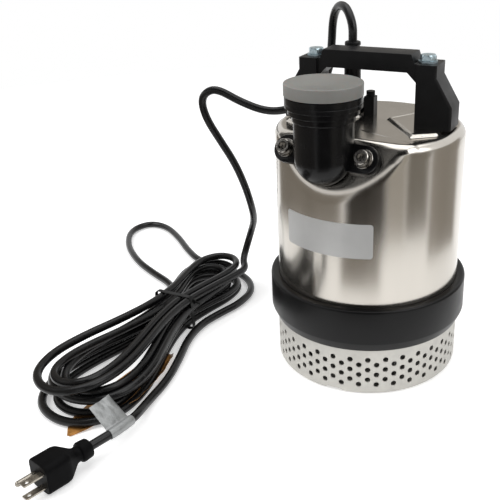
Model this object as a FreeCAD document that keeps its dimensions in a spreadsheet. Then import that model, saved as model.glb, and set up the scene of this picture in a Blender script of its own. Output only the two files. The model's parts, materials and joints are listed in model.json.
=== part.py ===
import FreeCAD, Part
import math
import os

import Sketcher

# Submersible sump pump with a drawn shell, a perforated strainer foot and a tied power cord.
# The origin is at the centre of the foot, on the floor. +Z is up, the discharge looks towards -Y
# and the handle bar runs along X. All lengths are millimetres.

Vector = FreeCAD.Vector
doc = FreeCAD.newDocument("sump_pump")
sheet = doc.addObject("Spreadsheet::Sheet", "Sizes")

# Driving sizes: name, number, what it is
SIZES = (
    ("strainer_step", 1.8, "strainer outside beyond the shell outside"),
    ("strainer_wall", 1.5, "strainer sheet"),
    ("strainer_rim_level", 55.5, "top of the strainer, inside the band"),
    ("strainer_foot_round", 4.0, "rounded edge at the foot"),
    ("strainer_hole_radius", 2.6, "one hole"),
    ("strainer_hole_count", 34, "holes in one row, an even number not divisible by four"),
    ("strainer_row_first", 11.0, "height of the lowest row"),
    ("strainer_row_step", 5.4, "from one row to the next"),
    ("notch_width", 17.0, "drain notch in the foot"),
    ("notch_depth", 2.2, "height of the drain notch"),
    ("band_wall", 8.0, "wall of the bumper band about the shell"),
    ("band_foot_level", 49.0, "lower edge of the band"),
    ("band_top_level", 92.0, "upper edge of the band"),
    ("band_taper", 4.5, "how far the band draws in at its foot"),
    ("band_taper_rise", 9.5, "height of the drawn in part"),
    ("seat_clearance", 0.3, "gap where a cover slips over a spigot"),
    ("fit_clearance", 0.15, "gap of a close fit"),
    ("shell_radius", 88.5, "outside of the drawn shell"),
    ("shell_wall", 1.2, "sheet of the drawn shell"),
    ("deck_level", 241.0, "top of the shell"),
    ("shoulder_round", 9.0, "rounded shoulder of the shell"),
    ("facet_foot_level", 197.0, "where the slanted face leaves the shell wall"),
    ("facet_angle", 58.0, "slant of the discharge face above level, degrees"),
    ("pad_rise", 1.6, "pads pressed up under the handle legs"),
    ("pad_inner", 14.0, "inner side of a pad from the centre plane"),
    ("pad_point_place", 11.0, "how far back a pad's point lies"),
    ("pad_front_reach", 52.0, "front corner of a pad, sideways"),
    ("pad_front_place", 40.0, "front corner of a pad"),
    ("pad_margin", 16.5, "outer side of a pad in from the shell outside"),
    ("pad_reach_front", 26.0, "front end of that side"),
    ("pad_reach_back", 30.0, "back end of that side"),
    ("pad_back_reach", 46.0, "back corner of a pad, sideways"),
    ("pad_back_margin", 28.5, "back side of a pad in from the shell outside"),
    ("strip_depth", 0.8, "front strip of the deck below the rest"),
    ("strip_point_place", 30.0, "point of the strip behind the face"),
    ("strip_reach", 62.0, "end of the strip, sideways"),
    ("strip_end_place", 57.0, "end of the strip"),
    ("face_turn", 5.0, "slanted face turned to the left about the pump axis"),
    ("port_offset", 7.6, "discharge axis left of the turned face's middle"),
    ("port_setback", 12.7, "discharge axis in from the shell outside, square to the turned face"),
    ("neck_radius", 26.2, "outside of the elbow neck"),
    ("port_bore_radius", 22.0, "water way of the elbow"),
    ("bell_radius", 32.5, "outside of the threaded bell"),
    ("bell_ring_radius", 30.8, "stepped ring under the bell"),
    ("bell_foot_level", 271.5, "lower edge of the bell"),
    ("bell_rim_level", 291.0, "upper edge of the bell"),
    ("ring_foot_level", 266.0, "lower edge of the stepped ring"),
    ("collar_foot_level", 260.0, "lower edge of the neck collar"),
    ("collar_radius", 27.4, "neck collar under the ring"),
    ("thread_bore_radius", 28.2, "bore of the bell, two inch pipe thread"),
    ("thread_depth", 22.0, "depth of the threaded bore"),
    ("neck_ball_level", 228.0, "centre of the rounded foot of the elbow"),
    ("flange_thickness", 5.0, "elbow flange"),
    ("flange_rise", 11.0, "flange bolts up the slant from the discharge axis"),
    ("flange_ear_radius", 12.5, "round ear about a flange bolt"),
    ("flange_bolt_spread", 38.0, "from the discharge axis to a flange bolt"),
    ("gasket_thickness", 1.5, "flange gasket"),
    ("cap_wall", 1.1, "dust cap wall"),
    ("cap_skirt", 10.5, "height of the dust cap"),
    ("bolt_radius", 4.0, "eight millimetre screws"),
    ("socket_head_radius", 6.5, "head of a socket screw"),
    ("socket_head_height", 6.5, "height of a socket screw head"),
    ("socket_key", 6.0, "hexagon key across flats"),
    ("socket_depth", 4.0, "depth of the hexagon socket"),
    ("washer_radius", 8.4, "washer under a screw"),
    ("washer_thickness", 1.6, "washer sheet"),
    ("handle_bolt_spread", 53.2, "from the centre plane to a handle bolt"),
    ("handle_shoulder_level", 299.0, "seat of the handle bolts"),
    ("handle_bar_level", 307.0, "top of the handle bar"),
    ("handle_bar_height", 16.0, "height of the bar"),
    ("handle_bar_depth", 25.0, "bar from front to back"),
    ("handle_leg_depth", 30.0, "leg from front to back"),
    ("handle_leg_inner", 47.0, "inner face of a leg"),
    ("handle_shoulder_reach", 65.0, "outer corner of a shoulder"),
    ("handle_foot_reach", 80.0, "outer face of a leg at its foot"),
    ("handle_flare_level", 263.0, "where the leg stops flaring"),
    ("handle_flare_top", 288.0, "where the leg starts to flare"),
    ("handle_corner", 9.0, "slanted corner between bar and leg"),
    ("handle_bar_end", 44.5, "end of the raised bar"),
    ("handle_round", 2.5, "rounded edges of the handle"),
    ("hex_head_width", 13.0, "hexagon head across flats"),
    ("hex_head_height", 5.3, "hexagon head"),
    ("handle_bolt_length", 72.0, "shank of a handle bolt"),
    ("boot_offset", 27.0, "cord entry left of the centre plane"),
    ("boot_place", 25.0, "cord entry behind the pump axis"),
    ("boot_radius", 8.2, "boot about the cord"),
    ("boot_top_level", 309.0, "where the cord leaves the boot"),
    ("boot_collar_radius", 7.6, "collar at the top of the boot"),
    ("boot_collar_height", 4.0, "height of that collar"),
    ("boot_neck_radius", 6.6, "drawn in neck below the collar"),
    ("gland_radius", 13.0, "gland nut at the foot of the boot"),
    ("gland_height", 12.0, "gland nut"),
    ("vent_offset", 8.0, "vent plug left of the centre plane"),
    ("vent_place", 24.0, "vent plug behind the pump axis"),
    ("vent_width", 10.0, "vent body"),
    ("vent_height", 18.0, "vent body"),
    ("vent_nub_radius", 4.2, "nub on the vent"),
    ("vent_nub_height", 5.0, "nub on the vent"),
    ("casing_foot_level", 42.0, "lower rim of the pump casing"),
    ("casing_top_level", 64.0, "flange of the casing, under the shell"),
    ("casing_setback", 2.0, "casing outside below its flange, in from the shell outside"),
    ("casing_flange", 8.0, "height of the casing flange"),
    ("casing_wall", 4.0, "wall of the casing"),
    ("casing_flange_width", 9.5, "flange from outside to inside"),
    ("suction_plate_thickness", 4.0, "plate under the impeller"),
    ("suction_eye_radius", 27.0, "opening of the suction plate"),
    ("plate_screw_radius", 1.5, "screws that hold the suction plate"),
    ("plate_screw_length", 12.0, "the same screws"),
    ("plate_screw_head", 2.75, "their heads"),
    ("plate_screw_head_height", 2.0, "their heads"),
    ("post_radius", 6.0, "posts that carry the strainer"),
    ("post_circle", 66.0, "circle of the posts"),
    ("impeller_radius", 52.0, "impeller shroud"),
    ("impeller_shroud", 4.0, "shroud thickness"),
    ("impeller_blade_height", 9.0, "blade height"),
    ("impeller_blade_count", 6, "blades"),
    ("impeller_blade_thickness", 3.5, "blade thickness"),
    ("impeller_hub_radius", 13.0, "impeller hub"),
    ("impeller_gap", 1.0, "running gap under the blades"),
    ("impeller_washer_radius", 11.0, "washer under the impeller nut"),
    ("impeller_washer_thickness", 1.5, "washer under the impeller nut"),
    ("shaft_radius", 9.0, "motor shaft"),
    ("nut_radius", 8.0, "impeller nut"),
    ("nut_height", 7.0, "impeller nut"),
    ("nut_bore_radius", 5.0, "threaded end of the shaft"),
    ("motor_radius", 58.0, "outside of the motor housing"),
    ("motor_wall", 6.0, "motor housing wall"),
    ("stud_radius", 2.0, "studs in the motor housing wall"),
    ("stud_length", 36.0, "studs"),
    ("oil_foot_level", 60.5, "underside of the oil chamber"),
    ("oil_top_level", 92.0, "oil chamber rim"),
    ("oil_wall", 6.0, "oil chamber wall"),
    ("oil_floor", 4.0, "oil chamber floor"),
    ("arm_width", 16.0, "arm from the oil chamber to the casing"),
    ("arm_height", 6.0, "the same arm"),
    ("arm_bolt_radius", 2.5, "screw through an arm"),
    ("arm_bolt_head", 4.5, "its head"),
    ("arm_bolt_head_height", 3.0, "its head"),
    ("arm_bolt_inset", 6.5, "arm screws in from the shell outside"),
    ("arm_bolt_depth", 7.0, "how deep it goes into the casing flange"),
    ("seal_seat_radius", 17.0, "stationary seal seat"),
    ("seal_ring_radius", 14.0, "turning seal ring"),
    ("seal_seat_height", 5.5, "stationary seal seat"),
    ("seal_ring_height", 14.0, "turning seal ring with its spring"),
    ("bracket_thickness", 17.0, "bearing bracket"),
    ("spigot_height", 5.0, "part of the bracket inside the motor housing"),
    ("bearing_lip", 3.0, "lip under the lower bearing"),
    ("bearing_lip_radius", 15.0, "bore of that lip"),
    ("lower_bearing_radius", 23.5, "lower bearing outside"),
    ("lower_bearing_width", 14.0, "lower bearing"),
    ("upper_bearing_radius", 20.0, "upper bearing outside"),
    ("upper_bearing_width", 12.0, "upper bearing"),
    ("race_wall", 4.2, "bearing ring"),
    ("stator_foot_level", 126.0, "lower end of the stator core"),
    ("stator_length", 50.0, "stator core"),
    ("stator_bore_radius", 30.0, "stator bore"),
    ("air_gap", 0.5, "between stator and rotor"),
    ("winding_height", 13.0, "end turns"),
    ("winding_radius", 45.0, "outside of the end turns"),
    ("end_ring_height", 5.0, "rotor end ring"),
    ("upper_bracket_level", 192.0, "underside of the upper bracket"),
    ("upper_bracket_thickness", 8.0, "upper bracket"),
    ("bearing_boss_wall", 5.0, "boss about the upper bearing"),
    ("wire_hole_radius", 5.0, "wire passage"),
    ("wire_hole_circle", 38.0, "circle of the wire passages"),
    ("cover_level", 228.0, "underside of the top cover"),
    ("cover_gap", 0.3, "between the top cover and the deck"),
    ("capacitor_radius", 11.5, "run capacitor"),
    ("capacitor_length", 50.0, "run capacitor"),
    ("capacitor_place", 30.0, "capacitor behind the pump axis"),
    ("protector_length", 22.0, "thermal protector"),
    ("protector_width", 10.0, "thermal protector"),
    ("protector_height", 12.0, "thermal protector"),
    ("cover_ear_radius", 9.0, "ear of the top cover about a handle bolt"),
    ("cover_bevel", 1.5, "bevelled rim of the top cover"),
    ("gasket_height", 1.0, "gasket under the top cover"),
    ("cord_diameter", 8.2, "three core cord"),
    ("floor_gap", 0.8, "cord over the floor, for the tag and tie beneath it"),
    ("hank_place_x", -208.0, "centre of the hank"),
    ("hank_place_y", -76.0, "centre of the hank"),
    ("hank_half_length", 138.3, "inner turn, centre to end"),
    ("hank_waist", 4.8, "inner turn, half its waist"),
    ("hank_lobe", 46.6, "how far the back lobe opens"),
    ("hank_lobe_front", 80.8, "how far the front lobe opens"),
    ("hank_waist_place", 0.238, "waist from the centre, part of the half length"),
    ("hank_start", 42.0, "where the first turn starts, degrees"),
    ("hank_step_waist", 10.4, "step from turn to turn at the waist"),
    ("hank_step_end", 10.8, "step from turn to turn at the ends"),
    ("hank_layer", 10.0, "height of a layer of turns"),
    ("hank_turns", 1.3, "turns in one layer"),
    ("tie_width", 9.0, "tie about the hank"),
    ("tie_thickness", 0.5, "tie about the hank"),
    ("tie_gap", 0.25, "tie over the cord"),
    ("plug_length", 47.8, "moulded plug body"),
    ("plug_face_width", 26.0, "plug face, level"),
    ("plug_face_height", 27.0, "plug face, upright as it lies"),
    ("blade_length", 17.8, "plug blade"),
    ("blade_width", 6.35, "plug blade"),
    ("blade_thickness", 1.5, "plug blade"),
    ("blade_spacing", 12.7, "between the blades"),
    ("ground_pin_radius", 2.4, "earth pin"),
    ("ground_pin_length", 21.0, "earth pin"),
    ("ground_pin_offset", 11.9, "earth pin from the blades"),
    ("flag_length", 25.5, "bare flag label, out from the cord"),
    ("flag_width", 27.0, "bare flag label, along the cord"),
    ("flag_thickness", 0.5, "bare flag label"),
    ("paper_length", 150.0, "amber tag under the hank"),
    ("paper_width", 34.0, "amber tag under the hank"),
    ("paper_thickness", 0.5, "amber tag under the hank"),
)


class Size:
    """A number together with the sheet expression that gives it."""

    def __init__(self, number, text):
        self.number = number
        self.text = text

    def __add__(self, other):
        other = as_size(other)
        return Size(self.number + other.number, f"({self.text} + {other.text})")

    def __radd__(self, other):
        return as_size(other) + self

    def __sub__(self, other):
        other = as_size(other)
        return Size(self.number - other.number, f"({self.text} - {other.text})")

    def __rsub__(self, other):
        return as_size(other) - self

    def __mul__(self, other):
        other = as_size(other)
        return Size(self.number * other.number, f"({self.text} * {other.text})")

    def __rmul__(self, other):
        return as_size(other) * self

    def __truediv__(self, other):
        other = as_size(other)
        return Size(self.number / other.number, f"({self.text} / {other.text})")

    def __neg__(self):
        return Size(-self.number, f"(0 - {self.text})")


def as_size(value):
    if isinstance(value, Size):
        return value
    return Size(float(value), repr(value))


class Sizes:
    """The sheet's values by name, each as a Size."""


s = Sizes()
for row, (alias, number, note) in enumerate(SIZES, start=1):
    sheet.set(f"A{row}", note)
    sheet.set(f"B{row}", str(number))
    sheet.setAlias(f"B{row}", alias)
    setattr(s, alias, Size(float(number), f"Sizes.{alias}"))
doc.recompute()

NODES = {}
ZERO = as_size(0)


def tan_of(angle):
    return Size(math.tan(math.radians(angle.number)), f"tan({angle.text})")


def cos_of(angle):
    return Size(math.cos(math.radians(angle.number)), f"cos({angle.text})")


def sin_of(angle):
    return Size(math.sin(math.radians(angle.number)), f"sin({angle.text})")


# Helpers for bodies and sketches


def origin_item(body, role):
    for item in body.Origin.OriginFeatures:
        if item.Role == role:
            return item
    raise ValueError(role)


def new_body(name):
    body = doc.addObject("PartDesign::Body", name)
    body.Label = name
    return body


def keep(node, item):
    """Names the finished sub-part that becomes a file."""
    item.Label = node
    NODES[node] = item
    return item


def sketch_on(body, role, level=None):
    sketch = body.newObject("Sketcher::SketchObject", f"{body.Name}_sketch")
    sketch.AttachmentSupport = (origin_item(body, role), [""])
    sketch.MapMode = "FlatFace"
    if level is not None:
        sketch.setExpression("AttachmentOffset.Base.z", level.text)
    return sketch


def pin(sketch, edge, end, across, up):
    """Ties one end of an edge to its distances from the sketch's axes."""
    for kind, size, axis in (("DistanceX", across, -2), ("DistanceY", up, -1)):
        if size.number == 0:
            sketch.addConstraint(Sketcher.Constraint("PointOnObject", edge, end, axis))
            continue
        index = sketch.addConstraint(Sketcher.Constraint(kind, -1, 1, edge, end, size.number))
        sketch.setExpression(f"Constraints[{index}]", size.text)


def outline(sketch, corners):
    """Closed run of straight edges through corners, each a pair of sizes or numbers."""
    corners = [(as_size(across), as_size(up)) for across, up in corners]
    first = sketch.GeometryCount
    count = len(corners)
    for index in range(count):
        start = corners[index]
        stop = corners[(index + 1) % count]
        sketch.addGeometry(
            Part.LineSegment(
                Vector(start[0].number, start[1].number, 0), Vector(stop[0].number, stop[1].number, 0)
            ),
            False,
        )
    for index in range(count):
        following = first + (index + 1) % count
        sketch.addConstraint(Sketcher.Constraint("Coincident", first + index, 2, following, 1))
    for index, (across, up) in enumerate(corners):
        pin(sketch, first + index, 1, across, up)


def ring(sketch, across, up, radius):
    """Circle tied to its centre and radius."""
    across = as_size(across)
    up = as_size(up)
    centre = Vector(across.number, up.number, 0)
    edge = sketch.addGeometry(Part.Circle(centre, Vector(0, 0, 1), radius.number), False)
    pin(sketch, edge, 3, across, up)
    index = sketch.addConstraint(Sketcher.Constraint("Radius", edge, radius.number))
    sketch.setExpression(f"Constraints[{index}]", radius.text)


def turn_sketch(body, sketch):
    turn = body.newObject("PartDesign::Revolution", f"{body.Name}_turn")
    turn.Profile = sketch
    turn.ReferenceAxis = (sketch, ["V_Axis"])
    turn.Angle = 360
    return turn


def turned(name, corners, place=None):
    """Body turned about its Z axis from corners of radius and level."""
    body = new_body(name)
    sketch = sketch_on(body, "XZ_Plane")
    outline(sketch, corners)
    turn_sketch(body, sketch)
    if place is not None:
        put(body, place)
    return body


def pad(body, sketch, length, reverse=False):
    feature = body.newObject("PartDesign::Pad", f"{body.Name}_pad")
    feature.Profile = sketch
    feature.setExpression("Length", length.text)
    feature.Reversed = reverse
    return feature


def pocket(body, sketch, length, reverse=False):
    """Cuts a sketch out of a body, and makes sure that it took something away."""
    doc.recompute()
    before = body.Shape.Volume
    feature = body.newObject("PartDesign::Pocket", f"{body.Name}_pocket")
    feature.Profile = sketch
    feature.setExpression("Length", length.text)
    feature.Reversed = reverse
    doc.recompute()
    if not body.Shape.Volume < before:
        raise ValueError(f"{body.Name}: a pocket cuts nothing")
    return feature


def around(body, feature, count):
    """Repeats a feature about the body's Z axis."""
    pattern = body.newObject("PartDesign::PolarPattern", f"{body.Name}_pattern")
    pattern.Originals = [feature]
    pattern.Axis = (origin_item(body, "Z_Axis"), [""])
    pattern.Angle = 360
    pattern.setExpression("Occurrences", count.text)
    body.Tip = pattern
    return pattern


def soften(body, radius, chosen, kind="Fillet"):
    """Rounds or bevels the edges of the last feature that the test picks."""
    doc.recompute()
    base = body.Tip
    names = [f"Edge{index}" for index, edge in enumerate(base.Shape.Edges, start=1) if chosen(edge)]
    if not names:
        raise ValueError(f"{body.Name}: no edge to soften")
    feature = body.newObject(f"PartDesign::{kind}", f"{body.Name}_{kind.lower()}")
    feature.Base = (base, names)
    feature.setExpression("Radius" if kind == "Fillet" else "Size", radius.text)
    body.Tip = feature
    return feature


def put(item, place, tilt=None, axis=Vector(1, 0, 0)):
    """Places an item; tilt is an angle about the axis."""
    place = [as_size(part) for part in place]
    angle = 0.0 if tilt is None else tilt.number
    item.Placement = FreeCAD.Placement(
        Vector(*(part.number for part in place)), FreeCAD.Rotation(Vector(axis), angle)
    )
    for letter, part in zip("xyz", place):
        item.setExpression(f"Placement.Base.{letter}", part.text)
    if tilt is not None:
        item.setExpression("Placement.Rotation.Angle", tilt.text)
    return item


def cylinder(name, radius, length, place, tilt=None, axis=Vector(1, 0, 0)):
    item = doc.addObject("Part::Cylinder", name)
    item.setExpression("Radius", radius.text)
    item.setExpression("Height", length.text)
    return put(item, place, tilt, axis)


def box(name, length, width, height, place, tilt=None, axis=Vector(1, 0, 0)):
    item = doc.addObject("Part::Box", name)
    item.setExpression("Length", length.text)
    item.setExpression("Width", width.text)
    item.setExpression("Height", height.text)
    return put(item, place, tilt, axis)


def prism(name, across_flats, height, place, tilt=None):
    """Hexagonal prism from its width across flats."""
    item = doc.addObject("Part::Prism", name)
    item.Polygon = 6
    item.setExpression("Circumradius", (across_flats / 2 / math.cos(math.pi / 6)).text)
    item.setExpression("Height", height.text)
    return put(item, place, tilt)


def fused(name, items):
    item = doc.addObject("Part::MultiFuse", name)
    item.Shapes = items
    return item


def cut(name, base, tools):
    tool = tools[0] if len(tools) == 1 else fused(f"{name}_tools", tools)
    item = doc.addObject("Part::Cut", name)
    item.Base = base
    item.Tool = tool
    return item


def group(name, items):
    item = doc.addObject("Part::Compound", name)
    item.Links = items
    return item


def spots(count, radius, start):
    """Centres round a circle, from a starting angle in degrees."""
    turns = [math.radians(start + 360.0 * index / count) for index in range(count)]
    return [(radius * math.cos(turn), radius * math.sin(turn)) for turn in turns]


# Places that several pieces share

STRAINER_RADIUS = s.shell_radius + s.strainer_step
BAND_RADIUS = s.shell_radius + s.band_wall
CASING_RADIUS = s.shell_radius - s.casing_setback
ARM_CIRCLE = s.shell_radius - s.arm_bolt_inset
PORT_PLACE = s.shell_radius - s.port_setback
PAD_REACH = s.shell_radius - s.pad_margin
PAD_BACK = s.shell_radius - s.pad_back_margin
PAD_LEVEL = s.deck_level + s.pad_rise
FACET_TAN = tan_of(s.facet_angle)
FACET_COS = cos_of(s.facet_angle)
FACET_SIN = sin_of(s.facet_angle)
PORT_LEVEL = s.facet_foot_level + FACET_TAN * (s.shell_radius - PORT_PLACE)
PORT_ACROSS = -(s.port_offset * cos_of(s.face_turn) + PORT_PLACE * sin_of(s.face_turn))
PORT_ALONG = -(PORT_PLACE * cos_of(s.face_turn) - s.port_offset * sin_of(s.face_turn))
INNER_DECK = s.deck_level - s.strip_depth - s.shell_wall
COVER_TOP = INNER_DECK - s.cover_gap
BRACKET_TOP = s.oil_top_level + s.bracket_thickness
STATOR_TOP = s.stator_foot_level + s.stator_length
UPPER_BEARING_FOOT = s.upper_bracket_level - 4
CASING_SHELF = s.casing_top_level - s.casing_flange
FLANGE_RADIUS = s.shell_radius - s.fit_clearance
BLADE_FOOT = s.casing_foot_level + s.impeller_gap
SHROUD_FOOT = BLADE_FOOT + s.impeller_blade_height
HUB_FOOT = s.casing_foot_level + 2
HANDLE_BOLT_PLACES = (-s.handle_bolt_spread, s.handle_bolt_spread)
REACH = s.shell_radius + 10
STRAINER_ROWS = 6
HANK_LAYERS = 4
CLIMB = 0.5
PLATE_CIRCLE = CASING_RADIUS - s.casing_wall / 2
BRACKET_ROOM = s.upper_bracket_level + s.upper_bracket_thickness
SPIGOT = s.motor_radius - s.motor_wall - s.fit_clearance
STUD_CIRCLE = s.motor_radius - s.motor_wall / 2
STUD_SPOTS = spots(4, STUD_CIRCLE, 45)
STUD_DEPTH = as_size(8)
UPPER_STUD_DEPTH = s.stud_length - s.gasket_height - 9
PLUG_AXIS = Vector(-0.27, -0.963, 0).normalize()
PLUG_REAR = (-149.0, -266.0, 14.0)
PAPER_PLACE = (-197.0, -249.0)
FLAG_BACK = 21.0
FLAG_SIDE = (-0.789, 0.221, 0.574)


def facet_point(across, up_slant, out):
    """Place of a point of the unturned slanted face, from the point under the discharge axis."""
    across = as_size(across)
    up_slant = as_size(up_slant)
    out = as_size(out)
    return (
        across - s.port_offset,
        up_slant * FACET_COS - out * FACET_SIN - PORT_PLACE,
        up_slant * FACET_SIN + out * FACET_COS + PORT_LEVEL,
    )


def face_cylinder(name, radius, length, across, out):
    """Cylinder square to the slanted face, at the height of the flange bolts."""
    return cylinder(name, radius, length, facet_point(across, s.flange_rise, out), s.facet_angle)


def with_face(item):
    """Turns what was built on the unturned slanted face about the pump axis."""
    return put(item, (0, 0, 0), s.face_turn, Vector(0, 0, -1))


# Strainer foot


def stacked_ring(radius, level):
    """Corners of the strainer's many sided section at a level."""
    sides = 2 * round(s.strainer_hole_count.number)
    turns = [2 * math.pi * (index + 0.5) / sides for index in range(sides)]
    reach = radius.number
    return [Vector(reach * math.cos(turn), reach * math.sin(turn), level.number) for turn in turns]


def stacked_cup(outside, inside):
    """Cup between two stacks of (radius, level), each side flat, joined at the rim."""
    rings = [stacked_ring(*pair) for pair in outside] + [stacked_ring(*pair) for pair in inside[::-1]]
    faces = [Part.Face(Part.makePolygon(ring + ring[:1])) for ring in (rings[0], rings[-1])]
    for low, high in zip(rings, rings[1:]):
        for index in range(len(low)):
            near = low[index - 1]
            far = low[index]
            faces.append(Part.Face(Part.makePolygon([near, far, high[index], high[index - 1], near])))
    shell = Part.makeShell(faces)
    shell.sewShape()
    return Part.makeSolid(shell)


def strainer_holes():
    """Staggered rows of holes, one at the middle of every second flat side."""
    count = round(s.strainer_hole_count.number)
    start = STRAINER_RADIUS.number - 2 * s.strainer_wall.number
    tools = []
    for row in range(STRAINER_ROWS):
        level = (s.strainer_row_first + s.strainer_row_step * row).number
        for index in range(count):
            turn = 2 * math.pi * (index + (row % 2) / 2) / count
            out = Vector(math.cos(turn), math.sin(turn), 0)
            edge = polygon_at(out * start + Vector(0, 0, level), out, s.strainer_hole_radius.number, 8)
            tools.append(Part.Face(edge).extrude(out * 4 * s.strainer_wall.number))
    return tools


def make_strainer():
    radius = STRAINER_RADIUS
    wall = s.strainer_wall
    turn = s.strainer_foot_round
    outside = (
        (radius - turn, ZERO),
        (radius - turn * 0.3, turn * 0.3),
        (radius, turn),
        (radius, s.strainer_rim_level),
    )
    hollow = radius - wall
    half = wall * 0.5
    inside = ((hollow - turn + half, wall), (hollow, turn + half), (hollow, s.strainer_rim_level))
    cup = stacked_cup(outside, inside)
    tools = strainer_holes()
    width = s.notch_width.number
    notch_place = Vector(-width / 2, -radius.number - 1, -1)
    tools.append(Part.makeBox(width, turn.number + 1, s.notch_depth.number + 1, notch_place))
    drill_radius = (s.arm_bolt_radius + s.fit_clearance).number
    for across, along in spots(4, s.post_circle, 45):
        centre = Vector(across.number, along.number, -1)
        tools.append(Part.makeCylinder(drill_radius, 3 * wall.number, centre))
    item = doc.addObject("Part::Feature", "strainer")
    item.Shape = cup.cut(Part.makeCompound(tools))
    keep("strainer", item)


def is_ring(edge, level, radius):
    """Whether an edge is a level circle of that radius at that level."""
    curve = edge.Curve
    if not isinstance(curve, Part.Circle):
        return False
    return abs(curve.Center.z - level.number) < 0.01 and abs(curve.Radius - radius.number) < 0.01


def make_strainer_fixings():
    length = s.casing_foot_level - s.suction_plate_thickness - s.strainer_wall
    posts = []
    screws = []
    screw_length = s.casing_foot_level - s.fit_clearance * 2
    for across, along in spots(4, s.post_circle, 45):
        post = cylinder("post", s.post_radius, length, (across, along, s.strainer_wall))
        drill = s.arm_bolt_radius + s.fit_clearance
        bore = cylinder("post_bore", drill, length, (across, along, s.strainer_wall))
        posts.append(cut("post_sleeve", post, [bore]))
        screws.append(cylinder("screw", s.arm_bolt_radius, screw_length, (across, along, s.fit_clearance)))
    keep("strainer_posts", group("strainer_posts", posts))
    keep("strainer_screws", group("strainer_screws", screws))


def make_band():
    lower = STRAINER_RADIUS + s.fit_clearance
    upper = s.shell_radius + s.fit_clearance
    body = turned(
        "bumper_band",
        (
            (lower, s.band_foot_level),
            (BAND_RADIUS - s.band_taper, s.band_foot_level),
            (BAND_RADIUS, s.band_foot_level + s.band_taper_rise),
            (BAND_RADIUS, s.band_top_level),
            (upper, s.band_top_level),
            (upper, CASING_SHELF),
            (lower, CASING_SHELF),
        ),
    )
    soften(body, s.shell_wall, lambda edge: is_ring(edge, s.band_top_level, BAND_RADIUS), "Chamfer")
    keep("bumper_band", body)


# Drawn shell with its slanted discharge face


def slanted_cut(body, inset):
    """Takes away what stands in front of the slanted face, set in by a wall."""
    sink = inset / FACET_COS
    low = s.facet_foot_level - sink - FACET_TAN * (REACH - s.shell_radius)
    high = s.deck_level + 10
    back = (high - s.facet_foot_level + sink) / FACET_TAN - s.shell_radius
    sketch = sketch_on(body, "YZ_Plane", -REACH * cos_of(s.face_turn))
    shift = REACH * sin_of(s.face_turn)
    turn = FreeCAD.Rotation(Vector(0, -1, 0), s.face_turn.number)
    sketch.AttachmentOffset = FreeCAD.Placement(Vector(shift.number, 0, 0), turn)
    sketch.setExpression("AttachmentOffset.Base.x", shift.text)
    sketch.setExpression("AttachmentOffset.Rotation.Angle", s.face_turn.text)
    outline(sketch, ((-REACH, low), (back, high), (-REACH, high)))
    pocket(body, sketch, REACH * 2, reverse=True)


def pad_corners(side):
    return (
        (s.pad_inner * side, s.pad_point_place),
        (s.pad_front_reach * side, -s.pad_front_place),
        (PAD_REACH * side, -s.pad_reach_front),
        (PAD_REACH * side, s.pad_reach_back),
        (s.pad_back_reach * side, PAD_BACK),
        (s.pad_inner * side, PAD_BACK),
    )


def drawn_form(name, inset, top):
    """Solid cup form with a rounded shoulder and the slanted face."""
    radius = s.shell_radius - inset
    foot = s.casing_top_level
    body = turned(name, ((ZERO, foot), (radius, foot), (radius, top), (ZERO, top)))
    slanted_cut(body, inset)
    doc.recompute()
    soften(body, s.shoulder_round - inset, lambda edge: edge.CenterOfMass.z > s.facet_foot_level.number)
    return body


def make_shell():
    outer = drawn_form("shell_outside", ZERO, s.deck_level)
    strip = sketch_on(outer, "XY_Plane", s.deck_level)
    front = -s.shell_radius
    outline(
        strip,
        (
            (-s.strip_reach, front),
            (s.strip_reach, front),
            (s.strip_reach, -s.strip_end_place),
            (ZERO, -s.strip_point_place),
            (-s.strip_reach, -s.strip_end_place),
        ),
    )
    pocket(outer, strip, s.strip_depth)
    for side in (1, -1):
        sketch = sketch_on(outer, "XY_Plane", s.deck_level)
        outline(sketch, pad_corners(side))
        pad(outer, sketch, s.pad_rise)
    inner = drawn_form("shell_inside", s.shell_wall, INNER_DECK)
    hollow = cut("shell_hollow", outer, [inner])
    depth = s.shell_wall * 6
    drill = s.bolt_radius + s.fit_clearance
    face_tools = [face_cylinder("port_hole", s.port_bore_radius - 1, depth, 0, -3 * s.shell_wall)]
    for side in (-1, 1):
        across = s.flange_bolt_spread * side
        face_tools.append(face_cylinder("face_hole", drill, depth, across, -3 * s.shell_wall))
    tools = [with_face(fused("face_holes", face_tools))]
    for across in HANDLE_BOLT_PLACES:
        tools.append(cylinder("deck_hole", drill, s.pad_rise * 6, (across, 0, INNER_DECK - 1)))
    centre = (-s.boot_offset, s.boot_place, INNER_DECK - 1)
    tools.append(cylinder("cord_hole", s.boot_radius + s.fit_clearance, s.pad_rise * 6, centre))
    keep("outer_shell", cut("outer_shell", hollow, tools))


# Discharge elbow, its flange and its cap


def flange_form(name, out, thickness):
    """Flange plate on the slanted face with an ear at each bolt."""
    across = s.flange_bolt_spread
    ear = s.flange_ear_radius
    corner = facet_point(-across, s.flange_rise - ear, out)
    parts = [box(f"{name}_plate", across * 2, ear * 2, thickness, corner, s.facet_angle)]
    parts.append(face_cylinder(f"{name}_round", s.neck_radius, thickness, 0, out))
    for side in (-1, 1):
        parts.append(face_cylinder(f"{name}_ear", ear, thickness, across * side, out))
    return fused(f"{name}_form", parts)


def flange_holes(name):
    drill = s.bolt_radius + s.fit_clearance
    length = s.flange_thickness * 6
    spread = s.flange_bolt_spread
    foot = -s.flange_thickness
    return [face_cylinder(f"{name}_drill", drill, length, spread * side, foot) for side in (-1, 1)]


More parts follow.
